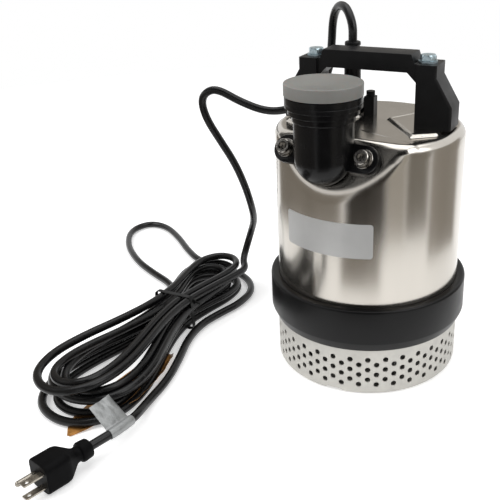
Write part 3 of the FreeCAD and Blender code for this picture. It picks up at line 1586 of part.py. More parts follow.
# Level along the plug, share of its width and height, and corner radius
PLUG_SECTIONS = (
    (0.0, 0.6, 0.58, 6.8),
    (0.18, 0.66, 0.64, 7.6),
    (0.22, 0.5, 0.48, 5.8),
    (0.3, 0.5, 0.48, 5.8),
    (0.52, 0.92, 0.92, 6.5),
    (0.6, 1.0, 1.0, 6.5),
    (1.0, 1.0, 1.0, 6.5),
)

LEAD_ROUTE = (
    (-37.5, 35.5, 338),
    (-51.5, 49.5, 338),
    (-61.5, 59.5, 324),
    (-63, 60, 298),
    (-64, 56, 271),
    (-77, 48, 248),
    (-99, 42, 234),
    (-124, 35, 230),
    (-149, 24.5, 240.5),
    (-171, 15, 255),
    (-183.5, 12.5, 251.5),
    (-190, 12.5, 241),
    (-187, 15.5, 222),
    (-178, 24.5, 198),
    (-166, 33, 171),
    (-158.5, 40, 143),
    (-156.5, 49, 116),
    (-165, 69, 91),
    (-176.9, 82.7, 70.9),
    (-182, 79.1, 51.7),
    (-180.7, 64.5, 37.9),
)

TAIL_ROUTE = (
    (-258, 34),
    (-302, 58),
    (-345, 80),
    (-386, 112),
    (-412, 156),
    (-402, 188),
    (-370, 184),
    (-326, 152),
    (-290, 125),
    (-252, 112),
    (-212, 108),
    (-178, 92),
    (-159, 58),
    (-159, 22),
    (-171, -8),
    (-179, -38),
    (-175, -72),
    (-163, -106),
    (-152, -145),
    (-149, -182),
)

make_strainer()
make_strainer_fixings()
make_band()
make_shell()
make_elbow()
make_elbow_fixings()
make_cap()
make_handle()
make_handle_fixings()
make_cord_entry()
make_suction_plate()
make_casing()
make_impeller()
make_oil_chamber()
make_seal()
make_brackets()
make_bearings()
make_motor()
make_electrics()
make_cover()
make_cord()
make_tie()
make_plug()
make_labels()
check_and_write()
print(len(NODES), "files")
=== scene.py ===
import json
import math

import bmesh
import bpy
import numpy as np
from mathutils import Matrix, Vector


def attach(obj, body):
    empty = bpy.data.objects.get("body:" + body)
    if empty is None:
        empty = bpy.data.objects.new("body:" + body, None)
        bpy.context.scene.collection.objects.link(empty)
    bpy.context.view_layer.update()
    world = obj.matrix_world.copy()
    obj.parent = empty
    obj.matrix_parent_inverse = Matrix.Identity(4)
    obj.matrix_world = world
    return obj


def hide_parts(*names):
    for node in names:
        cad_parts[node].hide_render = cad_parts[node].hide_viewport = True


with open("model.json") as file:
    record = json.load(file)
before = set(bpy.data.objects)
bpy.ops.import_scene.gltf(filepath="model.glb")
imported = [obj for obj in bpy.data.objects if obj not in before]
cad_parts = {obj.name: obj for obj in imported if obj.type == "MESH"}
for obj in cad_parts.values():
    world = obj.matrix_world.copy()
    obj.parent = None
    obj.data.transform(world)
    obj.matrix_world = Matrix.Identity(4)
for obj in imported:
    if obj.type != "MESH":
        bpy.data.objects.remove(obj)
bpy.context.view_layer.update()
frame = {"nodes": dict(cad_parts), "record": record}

bl_info = {
    "name": "Submersible sump pump",
    "version": (1, 0, 0),
    "blender": (4, 5, 0),
    "location": "View3D > Sidebar > Sump pump",
    "description": "Dresses the frame of a submersible sump pump with its sheet metal, mouldings and cord",
    "category": "Object",
}

SLOT_OF = {part["node"]: part["material_slot"] for part in frame["record"]["subparts"]}
FINISHES = {}
MM = 0.001
# Points that round to the same step, half a micrometre, are joined
STEPS_A_METRE = 2e6
# Faces that meet more steeply keep a sharp edge, and steeper ones still are bevelled; degrees
SHARP_ANGLE = 35
BEVEL_ANGLE = 32


# Colours, nodes and finishes


def linear(code):
    """Scene linear colour of an sRGB hex code."""
    values = np.array([int(code[place:place + 2], 16) for place in (1, 3, 5)]) / 255
    return tuple(np.where(values <= 0.04045, values / 12.92, ((values + 0.055) / 1.055) ** 2.4))


def node(tree, kind, inputs=None, **settings):
    """Adds a node. Its inputs, by name or number, take a value, an output, or a node for its first output."""
    made = tree.nodes.new("ShaderNode" + kind)
    for name, value in settings.items():
        setattr(made, name, value)
    for name, value in (inputs or {}).items():
        if isinstance(value, bpy.types.Node):
            value = value.outputs[0]
        if isinstance(value, bpy.types.NodeSocket):
            tree.links.new(value, made.inputs[name])
        else:
            made.inputs[name].default_value = value
    return made


def new_material(name):
    """Material with an empty tree, and that tree."""
    material = bpy.data.materials.new(name)
    material.use_nodes = True
    material.node_tree.nodes.clear()
    return material, material.node_tree


def grain(tree, size, stretch=(1, 1, 1), detail=4.0):
    """Noise of that feature size in millimetres, in the piece's own coordinates."""
    where = node(tree, "TexCoord").outputs["Object"]
    scaled = node(tree, "Mapping", {"Vector": where, "Scale": stretch})
    inputs = {"Vector": scaled, "Scale": 1 / (size * MM), "Detail": detail, "Roughness": 0.55}
    return node(tree, "TexNoise", inputs).outputs["Fac"]


def spread(tree, value, low, high):
    """Value from 0.3 to 0.7 of a noise moved to a range."""
    ends = {"From Min": 0.3, "From Max": 0.7, "To Min": low, "To Max": high}
    return node(tree, "MapRange", {"Value": value, **ends}, clamp=True)


def shade(tree, value, dark, light):
    """Colour between two by a value."""
    return node(tree, "Mix", {0: value, 6: (*dark, 1), 7: (*light, 1)}, data_type="RGBA").outputs[2]


def finish(name, colour, darker, rough, patch, texture, depth, metal=0.0, stretch=(1, 1, 1), **more):
    """Surface whose colour and gloss vary over patches, with a fine texture of that depth; millimetres.

    The darkest patches have that share of the colour, a hex code or a setting.
    """
    colour = linear(colour) if isinstance(colour, str) else colour
    material, tree = new_material(name)
    broad = grain(tree, patch, stretch, 3.0)
    relief = {"Height": grain(tree, texture, stretch), "Distance": depth * MM, "Strength": 1.0}
    inputs = {
        "Base Color": shade(tree, spread(tree, broad, 0, 1), [value * darker for value in colour], colour),
        "Metallic": metal,
        "Roughness": spread(tree, broad, *rough),
        "Normal": node(tree, "Bump", relief),
    }
    inputs.update({name.replace("_", " "): value for name, value in more.items()})
    node(tree, "OutputMaterial", {"Surface": node(tree, "BsdfPrincipled", inputs)})
    return material


def make_finishes(colours):
    """The record's slots as materials, and a few more that only the looks need."""
    dull = {"Specular_IOR_Level": 0.2}
    soft = {"Subsurface_Weight": 0.15, "Subsurface_Scale": 0.003}
    upright = (1, 1, 0.04)
    black = colours.moulding
    return {
        # Drawn stainless, polished bright, with faint upright polishing lines
        "stainless": finish(
            "polished drawn stainless", colours.shell, 0.9, (0.15, 0.22), 30, 0.9, 0.0014, 1.0, upright
        ),
        # Perforated stainless, pickled to a pale satin
        "satin_stainless": finish("satin stainless sheet", "#CFCDC7", 0.82, (0.4, 0.52), 12, 0.5, 0.01, 0.7),
        # Moulded rubber of the bumper band and the boot, with a soft sheen
        "black_rubber": finish("moulded rubber", black, 0.7, (0.3, 0.4), 20, 0.6, 0.01, **dull),
        # Moulded vinyl of the plug, deep black and matt
        "vinyl": finish("moulded vinyl", black, 0.7, (0.4, 0.5), 10, 0.6, 0.02, Specular_IOR_Level=0.04),
        # Glass filled nylon of the handle, finely spark eroded
        "black_plastic": finish("moulded nylon", black, 0.7, (0.36, 0.46), 15, 0.5, 0.02, **dull),
        # Casting under a black baked coat, slightly wavy
        "cast_iron": finish("black coated casting", black, 0.7, (0.2, 0.28), 12, 1.6, 0.008, **dull),
        # Zinc with a pale blue passivation
        "zinc_steel": finish("blue passivated zinc", "#BCCED5", 0.72, (0.26, 0.4), 4, 0.6, 0.01, 0.9),
        # Bright zinc of the elbow's screws
        "bright_zinc": finish("bright zinc", "#B9B5AF", 0.6, (0.14, 0.26), 3, 0.5, 0.01, 1.0),
        # Turned and ground steel
        "steel": finish("machined steel", "#A5A5A4", 0.75, (0.25, 0.36), 8, 0.4, 0.006, 1.0),
        # Die cast aluminium, dull and lightly grained
        "aluminium": finish("cast aluminium", "#B2B4B6", 0.8, (0.4, 0.52), 10, 0.8, 0.03, 1.0),
        # Enamelled winding wire, in strands of 0.8 mm
        "copper": finish("enamelled wire", "#B5652F", 0.55, (0.25, 0.36), 4, 0.8, 0.15, 0.9),
        # Rolled brass under dull nickel, as on plug blades
        "brass": finish("dull nickel on brass", "#ABA59A", 0.7, (0.24, 0.34), 4, 0.4, 0.008, 1.0),
        # Lapped seal ceramic, smooth and pale
        "ceramic": finish("lapped ceramic", "#E6E4DD", 0.9, (0.12, 0.2), 5, 0.4, 0.004),
        # Cord jacket, drawn smooth, with a soft sheen
        "cord": finish("cord jacket", colours.cord, 0.7, (0.22, 0.3), 20, 0.8, 0.01, Specular_IOR_Level=0.3),
        # Bare label stock, foil with a matt coat
        "label": finish("bare foil label", "#C2C2C1", 0.9, (0.34, 0.42), 30, 0.4, 0.004, 0.35),
        # Thin foil of the flag label, left bare, and lightly crumpled; its colour is painted darker than the
        # plate's foil, as painted shade
        "foil": finish("flag foil with painted shade", "#9C9E9E", 0.8, (0.3, 0.42), 10, 3, 0.4, 0.4),
        # Soft translucent plastic of the dust cap
        "grey_plastic": finish("soft translucent cap", colours.cap, 0.9, (0.34, 0.46), 20, 2, 0.03, **soft),
        # Thin amber film of the tag under the hank, creased every few millimetres
        "amber_film": finish("amber film", colours.film, 0.35, (0.12, 0.24), 9, 5, 1.1),
    }


def dress_nodes():
    """Gives each of the frame's own solids the finish of its slot."""
    for name, solid in frame["nodes"].items():
        solid.data.materials.clear()
        solid.data.materials.append(FINISHES[SLOT_OF[name]])


# Objects, and meshes from arrays of points


def linked(name, data):
    """Object of that data, in the scene."""
    made = bpy.data.objects.new(name, data)
    bpy.context.scene.collection.objects.link(made)
    return made


def piece(name, mesh, stands_for, coat=None, slot=None, body="pump"):
    """Object of a finished mesh, with the finish and slot of the frame's solid that it stands for, if any."""
    slot = slot or SLOT_OF[stands_for]
    made = linked(name, mesh)
    mesh.polygons.foreach_set("use_smooth", np.ones(len(mesh.polygons), bool))
    mesh.set_sharp_from_angle(angle=math.radians(SHARP_ANGLE))
    mesh.materials.clear()
    mesh.materials.append(FINISHES[coat or slot])
    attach(made, body)
    if stands_for:
        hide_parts(stands_for)
    return made


def skin(name, stands_for, surfaces, outward=True, **more):
    """Mesh of one or more surfaces, each an array of points in rows and columns, in metres.

    Equal points are joined, so a surface that closes on itself or draws in to a pole is shut there.
    """
    points = np.concatenate([surface.reshape(-1, 3) for surface in surfaces])
    steps = np.round(points * STEPS_A_METRE).astype(np.int64)
    _, first, where = np.unique(steps, axis=0, return_index=True, return_inverse=True)
    where = where.reshape(-1)
    corners = []
    start = 0
    for surface in surfaces:
        rows, columns = surface.shape[:2]
        index = where[start:start + rows * columns].reshape(rows, columns)
        tiles = np.stack([index[:-1, :-1], index[:-1, 1:], index[1:, 1:], index[1:, :-1]], -1)
        corners.append(tiles.reshape(-1, 4))
        start += rows * columns
    faces = []
    for face in np.concatenate(corners).tolist():
        kept = [corner for place, corner in enumerate(face) if corner != face[place - 1]]
        if len(set(kept)) >= 3:
            faces.append(kept)
    mesh = bpy.data.meshes.new(name)
    mesh.from_pydata(points[first].tolist(), [], faces)
    if outward:
        work = bmesh.new()
        work.from_mesh(mesh)
        bmesh.ops.recalc_face_normals(work, faces=work.faces)
        work.to_mesh(mesh)
        work.free()
    return piece(name, mesh, stands_for, **more)


def refined(node_name, name, width):
    """Copy of one of the frame's solids with its points joined and its edges rounded, which stands for it."""
    mesh = frame["nodes"][node_name].data.copy()
    mesh.name = name
    work = bmesh.new()
    work.from_mesh(mesh)
    bmesh.ops.remove_doubles(work, verts=work.verts, dist=0.00001)
    bmesh.ops.dissolve_limit(work, angle_limit=math.radians(1), verts=work.verts, edges=work.edges)
    work.to_mesh(mesh)
    work.free()
    made = piece(name, mesh, node_name)
    edges = made.modifiers.new("rounded edges", "BEVEL")
    edges.width = width
    edges.segments = 2
    edges.limit_method = "ANGLE"
    edges.angle_limit = math.radians(BEVEL_ANGLE)
    edges.harden_normals = True
    return made


def unit(vectors):
    """Vectors along the last axis, each drawn to a length of one."""
    return vectors / np.linalg.norm(vectors, axis=-1, keepdims=True)


def eased(share):
    """Share held between 0 and 1, with a level start and end."""
    share = np.clip(share, 0, 1)
    return share * share * (3 - 2 * share)


def joined(*parts):
    """Numbers and arrays brought to one shape and set side by side, as the coordinates of points."""
    return np.stack(np.broadcast_arrays(*parts), -1)


def full_turn(steps):
    """Angles once round, of which the last is the first again."""
    turn = np.linspace(0, 2 * np.pi, steps + 1)
    turn[-1] = 0
    return turn


def about(centre, radius, turn, level):
    """Points at a radius, a turn and a level about an upright axis."""
    return joined(radius * np.cos(turn) + centre[0], radius * np.sin(turn) + centre[1], level)


def turned(profile, steps=96, centre=(0, 0), reach=None):
    """Surface, in metres, of a profile of radius and level in millimetres turned about an upright axis.

    reach, a function of the turn, gives the largest radius there, as on a hexagon.
    """
    radius, level = np.array(profile, float).T[..., None]
    turn = full_turn(steps)
    if reach is not None:
        radius = np.minimum(radius, reach(turn))
    return about(centre, radius, turn, level) * MM


def arc(centre, radius, start, stop, count=6):
    """Points of an arc in a profile, from one angle in degrees to another."""
    angle = np.radians(np.linspace(start, stop, count))
    return list(zip(centre[0] + radius * np.cos(angle), centre[1] + radius * np.sin(angle)))


def rounded_rectangle(width, height, corner, steps):
    """Closed path about the origin: a quarter of a circle at each corner, with straight sides between."""
    path = []
    for number, (side, up) in enumerate(((1, 1), (-1, 1), (-1, -1), (1, -1))):
        centre = (side * (width / 2 - corner), up * (height / 2 - corner))
        path += arc(centre, corner, 90 * number, 90 * number + 90, steps)
    return np.array(path + path[:1])


def hexagon(across_flats):
    """Distance from the middle to the side of a hexagon, by turn."""
    def reach(turn):
        part = np.mod(turn, np.pi / 3) - np.pi / 6
        return across_flats / 2 / np.cos(part)
    return reach


def halved(inside, shape):
    """Shares of the way, for points of that shape, at which a test that holds at 0 and fails at 1 changes."""
    low = np.zeros(shape)
    high = np.ones(shape)
    for _ in range(40):
        middle = (low + high) / 2
        holds = inside(middle)
        low = np.where(holds, middle, low)
        high = np.where(holds, high, middle)
    return low


def sheet_of(middle, thickness):
    """Surfaces, in metres, of a closed sheet about a surface in millimetres: two faces and four edges."""
    normal = unit(np.cross(np.gradient(middle, axis=0), np.gradient(middle, axis=1)))
    front = (middle + normal * thickness / 2) * MM
    back = (middle - normal * thickness / 2) * MM
    edges = [np.stack([front[end], back[end]]) for end in (0, -1)]
    edges += [np.stack([front[:, end], back[:, end]]) for end in (0, -1)]
    return [front, back, *edges]


def set_on(surface, place, axis):
    """Moves a surface in metres built about +Z to a place in millimetres, with its axis along another."""
    axis = unit(np.array(axis, float))
    side = unit(np.cross((0, 1, 0) if abs(axis[1]) < 0.9 else (1, 0, 0), axis))
    return surface @ np.stack([side, np.cross(axis, side), axis]) + np.array(place) * MM


# Places on the slanted face

FACE_TURN = math.radians(5)
SLANT = math.radians(58)
FACE_SIDE = np.array((math.cos(FACE_TURN), -math.sin(FACE_TURN), 0))
FACE_BACK = np.array((math.sin(FACE_TURN), math.cos(FACE_TURN), 0))
FACE_UP = FACE_BACK * math.cos(SLANT) + np.array((0, 0, math.sin(SLANT)))
FACE_OUT = -FACE_BACK * math.sin(SLANT) + np.array((0, 0, math.cos(SLANT)))
FACE_FOOT_LEVEL = 197.0
SHELL_RADIUS = 88.5
DECK_LEVEL = 241.0
# The discharge axis, left of the face's middle and in front of the pump axis
PORT_LEFT = 7.6
PORT_AHEAD = 75.8
PORT = -PORT_LEFT * FACE_SIDE - PORT_AHEAD * FACE_BACK
PORT_LEVEL = FACE_FOOT_LEVEL + math.tan(SLANT) * (SHELL_RADIUS - PORT_AHEAD)
FLANGE_RISE = 11.0
FLANGE_SPREAD = 38.0


def on_face(across, up, out):
    """Place on the slanted face, from the point under the discharge axis, in millimetres."""
    ways = ((across, FACE_SIDE), (up, FACE_UP), (out, FACE_OUT))
    parts = [np.multiply.outer(value, way) for value, way in ways]
    return PORT + (0, 0, PORT_LEVEL) + parts[0] + parts[1] + parts[2]


# Camera, floor and light

# Focal length in widths of the picture, and the compass bearing, downward pitch and roll in degrees
FOCAL_LENGTH = 779.62 / 500
CAMERA_ANGLES = (-25.31, 24.06, -1.26)
CAMERA_PLACE = (0.24173, -0.66832, 0.43363)
CAMERA_SHIFT = (-0.1, -0.012)
FLOOR_RADIUS = 1.5

# Name, colour, distance, bearings, lower and upper edge, and the shares of the width and height that fade
CARDS = (
    ("card_left", "#8E8880", 0.37, -112, -4, 0.0, 0.26, 0.08, 0.2),
    ("card_low", "#958F87", 0.3, -12, 37, 0.0, 0.06, 0.16, 0.12),
    ("card_dark", "#332F2B", 0.33, -7, 41, 0.03, 0.26, 0.12, 0.12),
    ("card_light", "#B9B4AC", 0.40, 36, 62, 0.0, 0.3, 0.2, 0.1),
    ("card_right", "#88837B", 0.43, 58, 90, 0.0, 0.3, 0.14, 0.05),
    ("card_far", "#A09A92", 0.345, 86, 140, 0.0, 0.3, 0.1, 0.04),
    ("card_over", "#070707", 0.5, -100, 60, 0.36, 1.15, 0.08, 0.06),
    ("card_back", "#B2AEA8", 0.62, 172, 226, 0.26, 0.75, 0.15, 0.1),
)
CARD_COLUMNS = 24

# Name, place, width in metres and power in watts
LAMPS = (
    ("lamp_left", (-1.3, -0.9, 1.7), 1.4, 22),
    ("lamp_right", (1.5, -0.3, 1.5), 1.2, 12),
    ("lamp_top", (0.0, 0.3, 2.2), 1.8, 14),
)


def make_camera():
    data = bpy.data.cameras.new("camera")
    data.sensor_width = 36
    data.lens = FOCAL_LENGTH * data.sensor_width
    data.shift_x, data.shift_y = CAMERA_SHIFT
    data.clip_start = 0.01
    data.clip_end = 20
    camera = linked("camera", data)
    bearing, pitch, roll = (math.radians(angle) for angle in CAMERA_ANGLES)
    aim = Matrix.Rotation(-bearing, 3, "Z") @ Matrix.Rotation(math.pi / 2 - pitch, 3, "X")
    camera.location = CAMERA_PLACE
    camera.rotation_mode = "QUATERNION"
    camera.rotation_quaternion = (aim @ Matrix.Rotation(roll, 3, "Z")).to_quaternion()
    bpy.context.scene.camera = camera


def by_ray(tree, low, high):
    """The second strength for rays from the camera, off gloss and through glass, else the first."""
    path = node(tree, "LightPath").outputs
    both = node(tree, "Math", {0: path["Is Camera Ray"], 1: path["Is Glossy Ray"]}, operation="MAXIMUM")
    every = node(tree, "Math", {0: both, 1: path["Is Transmission Ray"]}, operation="MAXIMUM")
    return node(tree, "MapRange", {"Value": every, "To Min": low, "To Max": high})


def make_world():
    world = bpy.data.worlds.new("studio")
    world.use_nodes = True
    tree = world.node_tree
    tree.nodes.clear()
    shader = node(tree, "Background", {"Color": (1, 1, 1, 1), "Strength": by_ray(tree, 0.42, 1.0)})
    node(tree, "OutputWorld", {"Surface": shader})
    bpy.context.scene.world = world


def staged(name, points, faces, material):
    """Object of the stage made of those points and faces."""
    mesh = bpy.data.meshes.new(name)
    mesh.from_pydata(points.tolist(), [], faces)
    mesh.materials.append(material)
    made = linked(name, mesh)
    return made


def make_floor():
    """Round pale floor that the white surround meets unseen."""
    material, tree = new_material("pale studio floor")
    patch = spread(tree, grain(tree, 400, detail=2.0), 0, 1)
    paper = node(tree, "BsdfDiffuse", {"Color": shade(tree, patch, linear("#F4F4F4"), linear("#F8F8F8"))})
    lift = node(tree, "Emission", {"Color": (1, 1, 1, 1), "Strength": by_ray(tree, 0.0, 0.4)})
    both = node(tree, "AddShader", {0: paper, 1: lift})
    node(tree, "OutputMaterial", {"Surface": both})
    ring = about((0, 0), FLOOR_RADIUS, full_turn(96)[:-1], 0.0)
    staged("studio_floor", ring, [tuple(range(len(ring)))], material)


def card_finish(name, code, side, foot):
    """Even tone that fades away at the sides and at the lower edge of a card."""
    material, tree = new_material(name)

    def fade(value, share):
        return node(tree, "MapRange", {"Value": value, "From Max": share}, interpolation_type="SMOOTHSTEP")

    place = node(tree, "SeparateXYZ", {"Vector": node(tree, "TexCoord").outputs["UV"]}).outputs
    inward = node(tree, "Math", {0: place["X"], 1: 0.5}, operation="PINGPONG")
    shown = node(tree, "Math", {0: fade(inward, side), 1: fade(place["Y"], foot)}, operation="MULTIPLY")
    glow = node(tree, "Emission", {"Color": (*linear(code), 1), "Strength": 1.0})
    mixed = node(tree, "MixShader", {0: shown, 1: node(tree, "BsdfTransparent"), 2: glow})
    node(tree, "OutputMaterial", {"Surface": mixed})
    return material


def make_cards():
    """Curved grey cards that only gloss sees, each a strip of a round wall, by bearing across and height up.

    They give the polished shell its upright bands and the slanted face its black.
    """
    share = np.linspace(0, 1, CARD_COLUMNS + 1)
    low_left = np.arange(CARD_COLUMNS)
    high_left = low_left + CARD_COLUMNS + 1
    faces = joined(low_left, low_left + 1, high_left + 1, high_left)
    spots = joined(np.tile(share, 2), np.repeat((0.0, 1.0), CARD_COLUMNS + 1))
    for name, code, distance, start, stop, low, high, side, foot in CARDS:
        turn = np.radians(start + (stop - start) * share)
        wall = joined(distance * np.sin(turn), -distance * np.cos(turn), np.array((low, high))[:, None])
        tone = card_finish(name, code, side, foot)
        card = staged(name, wall.reshape(-1, 3), faces.tolist(), tone)
        layer = card.data.uv_layers.new(name="UVMap")
        layer.data.foreach_set("uv", spots[faces.reshape(-1)].ravel())
        for kind in ("camera", "diffuse", "shadow", "transmission"):
            setattr(card, "visible_" + kind, False)


def make_lamps():
    for name, place, size, power in LAMPS:
        data = bpy.data.lights.new(name, "AREA")
        data.size = size
        data.energy = power
        lamp = linked(name, data)
        lamp.location = place
        lamp.rotation_mode = "QUATERNION"
        lamp.rotation_quaternion = (Vector(place) - Vector((0, 0, 0.1))).to_track_quat("Z", "Y")


# Cord: lead, hank and tail are one line

CORD_RADIUS = 4.1
FLOOR_GAP = 0.8
HANK_CENTRE = (-208.0, -76.0)
HANK_HALF_LENGTH = 138.3
HANK_WAIST = 4.8
HANK_WAIST_PLACE = 0.238
# How far the back and the front lobe open, and how sharply
HANK_LOBES = (61.0, 84.3)
HANK_SHARPNESS = 1.63
HANK_START = math.radians(42)
HANK_STEPS = (10.4, 14.6)
# By layer from the floor up: turn about the waist in degrees, added half length, and share of the width
HANK_FAN = (1.9, 2.0, 4.0, -1.5)
HANK_GROWTH = (8, -9, -4, 8)
HANK_WIDTHS = (0.95, 0.96, 0.79, 0.8)
# Share by which the right side of the front lobe is drawn in, and how far from the waist the shares take hold
HANK_DRAWN_IN = 0.151
HANK_EASE = 60.0
HANK_LAYER = 10.0
HANK_TURNS = 1.3
HANK_LAYERS = 4
CLIMB = 0.5
POINTS_A_TURN = 20
# Small part of a turn, for the cord's heading
LITTLE = 0.0001
LOOSE_END = 24.2
BOOT = (-27.0, 25.0)
BOOT_TOP = 309.0
PLUG_REAR = np.array((-149.0, -266.0, 14.0))
PLUG_AXIS = np.array((-0.27, -0.963, 0.0)) / math.hypot(0.27, 0.963)

LEAD_ROUTE = (
    (-37.5, 35.5, 338), (-51.5, 49.5, 338), (-61.5, 59.5, 324), (-63, 60, 298), (-64, 56, 271),
    (-77, 48, 248), (-99, 42, 234), (-124, 35, 230), (-149, 24.5, 240.5), (-171, 15, 255),
    (-183.5, 12.5, 251.5), (-190, 12.5, 241), (-187, 15.5, 222), (-178, 24.5, 198), (-166, 33, 171),
    (-158.5, 40, 143), (-156.5, 49, 116), (-165, 69, 91), (-176.9, 82.7, 70.9), (-182, 79.1, 51.7),
    (-180.7, 64.5, 37.9),
)

TAIL_ROUTE = (
    (-260, 30), (-304, 50), (-342, 71), (-383, 106), (-411, 150), (-403, 184), (-372, 184), (-333, 156),
    (-297, 123), (-265, 101), (-224, 96), (-187, 84), (-164, 56), (-163, 20), (-172, -8), (-179, -38),
    (-175, -72), (-163, -106), (-152, -145), (-149, -182),
)


def hank_points(run):
    """Centre of the cord in the hank after each number of turns, in millimetres.

    A turn goes round a loop of two lobes with a narrow waist. Whole layers spiral in and out by a step a
    turn, and half a turn climbs from one layer to the next. Each layer is turned about the waist and drawn
    longer, shorter or narrower by its own amount, and its front right side is drawn in, so turns lie loose.
    """
    ends = np.cumsum([0, *(HANK_TURNS, CLIMB) * HANK_LAYERS])[:-1]
    steps = np.interp(run, ends, (HANK_TURNS, 0, 0, HANK_TURNS) * (HANK_LAYERS // 2))
    layer = np.interp(run, ends, np.repeat(range(HANK_LAYERS), 2)[::-1])
    layer = np.floor(layer) + np.sin(np.pi * np.mod(layer, 1) / 2) ** 2

    def loop(turn):
        share = np.cos(turn) - HANK_WAIST_PLACE
        side = np.where(share > 0, 1.0, -1.0)
        lobe = np.where(share > 0, *HANK_LOBES)
        half = HANK_WAIST + lobe * np.abs(share / (1 - side * HANK_WAIST_PLACE)) ** HANK_SHARPNESS
        return joined(np.sin(turn) * half, HANK_HALF_LENGTH * np.cos(turn))

    turn = HANK_START + 2 * np.pi * np.asarray(run)
    ahead = unit(loop(turn + LITTLE) - loop(turn - LITTLE))
    out = joined(-ahead[..., 1], ahead[..., 0])
    openness = np.minimum(1, np.abs(np.cos(turn) - HANK_WAIST_PLACE))
    step = HANK_STEPS[0] + (HANK_STEPS[1] - HANK_STEPS[0]) * openness
    place = loop(turn) + out * (steps * step)[..., None]
    waist = HANK_HALF_LENGTH * HANK_WAIST_PLACE
    by_layer = (HANK_FAN, HANK_GROWTH, HANK_WIDTHS)
    fan, growth, width = (np.interp(layer, range(HANK_LAYERS), values) for values in by_layer)
    fan = np.radians(fan)
    along = (place[..., 1] - waist) * (1 + growth / HANK_HALF_LENGTH)
    ease = eased(np.abs(along) / HANK_EASE)
    width = 1 + (width - 1) * ease
    width = width * np.where((along < 0) & (place[..., 0] > 0), 1 - HANK_DRAWN_IN * ease, 1)
    across = place[..., 0] * width + 0.9 * np.sin(2.2 * turn + 1.7 * layer) * openness ** 2
    x = HANK_CENTRE[0] + across * np.cos(fan) - along * np.sin(fan)
    y = HANK_CENTRE[1] + across * np.sin(fan) + along * np.cos(fan) + waist
    return joined(x, y, FLOOR_GAP + CORD_RADIUS + HANK_LAYER * layer)


def hank_heading(run):
    ahead = hank_points([run + LITTLE])[0] - hank_points([run - LITTLE])[0]
    ahead[2] = 0
    return unit(ahead)


def cord_points():
    """Control points of the whole cord, from the boot to the plug, in millimetres."""
    turns = HANK_LAYERS * HANK_TURNS + (HANK_LAYERS - 1) * CLIMB
    hank = hank_points(np.linspace(0, turns, round(turns * POINTS_A_TURN) + 1))
    lead = [(*BOOT, BOOT_TOP - 6), (*BOOT, BOOT_TOP), (*BOOT, BOOT_TOP + 15), *LEAD_ROUTE]
    lead.append(hank[0] - hank_heading(2 * LITTLE) * LOOSE_END)
    tail = [hank[-1] + hank_heading(turns - 2 * LITTLE) * LOOSE_END]
    tail += [(*place, FLOOR_GAP + CORD_RADIUS) for place in TAIL_ROUTE]
    tail += [PLUG_REAR - PLUG_AXIS * 44, PLUG_REAR, PLUG_REAR + PLUG_AXIS * 6]
    return np.concatenate([np.array(lead), hank, np.array(tail)])


def make_cord_line():
    """The cord, and the points of its line as Blender evaluates it, in millimetres."""
    points = cord_points() * MM
    data = bpy.data.curves.new("power_cord", "CURVE")
    data.dimensions = "3D"
    spline = data.splines.new("NURBS")
    spline.points.add(len(points) - 1)
    spline.points.foreach_set("co", np.concatenate([points, np.ones((len(points), 1))], 1).ravel())
    spline.order_u = 3
    spline.use_endpoint_u = True
    spline.resolution_u = 6
    cord = linked("power_cord", data)
    bare = bpy.data.meshes.new_from_object(cord)
    line = np.zeros(3 * len(bare.vertices))
    bare.vertices.foreach_get("co", line)
    bpy.data.meshes.remove(bare)
    data.bevel_depth = CORD_RADIUS * MM
    data.bevel_resolution = 5
    data.use_fill_caps = True
    data.materials.append(FINISHES["cord"])
    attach(cord, "pump")
    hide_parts("cord_lead", "cord_hank", "cord_tail")
    return cord, line.reshape(-1, 3) / MM


def make_boot():
    """Moulded boot about the cord: a profile turned about the cord's axis, tapering to a lip at the top."""
    radius = (8.2, 8.2, 7.9, 7.7, 6.7, 6.5, 6.5, 6.9, 7.5, 7.6, 7.3, 6.0, 4.3, 4.3)
    level = (250.0, 262.0, 280.0, 296.5, 298.5, 300.0, 303.5, 305.0, 305.5, 307.0, 308.4, 309.0, 309.0, 300.0)
    skin("cord_boot", "cable_boot", [turned(list(zip(radius, level)), 64, BOOT)])


# The strap about the hank's waist: outside width, lower and upper level, and its place along the hank
TIE_WIDTH = 45.8
TIE_LOW = 0.5
TIE_HIGH = 39.6
TIE_PLACE = -43.1
TIE_EDGE = ((0, -2.7), (0.28, -2.5), (0.28, 2.5), (0, 2.7), (-0.28, 2.5), (-0.28, -2.5), (0, -2.7))
TWIST_LENGTH = 13.0


def make_tie():
    """Strap about the waist of the hank, a rounded rectangle drawn along the hank, with a twisted end.

    The end is an oval of 3 by 1.4 mm that turns by 1.6 radians a millimetre.
    """
    path = rounded_rectangle(TIE_WIDTH, TIE_HIGH - TIE_LOW, 4.6, 7)
    wave = 1 + 0.006 * np.sin(np.arange(len(path)) * 1.9)[:, None]
    wave[-1] = wave[0]
    rows = []
    for thick, wide in TIE_EDGE:
        ring = np.array((HANK_CENTRE[0], (TIE_LOW + TIE_HIGH) / 2)) + path * wave * (1 + thick / 20)
        rows.append(joined(ring[:, 0], TIE_PLACE + wide, ring[:, 1]) * MM)
    turn = full_turn(12)
    length = np.concatenate([[0], np.linspace(0, TWIST_LENGTH, 40), [TWIST_LENGTH]])
    closed = np.ones(len(length))
    closed[[0, -1]] = 0
    twist = length[:, None] * 1.6
    x = closed[:, None] * (1.5 * np.cos(turn) * np.cos(twist) - 0.7 * np.sin(turn) * np.sin(twist))
    y = closed[:, None] * (1.5 * np.cos(turn) * np.sin(twist) + 0.7 * np.sin(turn) * np.cos(twist))
    stub = joined(x, y, length[:, None]) * MM
    stub = set_on(stub, (HANK_CENTRE[0] + 20.6, TIE_PLACE, 37.2), (0.62, 0.5, -0.62))
    return skin("cord_twist_tie", "cord_tie", [np.stack(rows), stub])


PLUG_LENGTH = 47.8
PLUG_FACE = (26, 27)
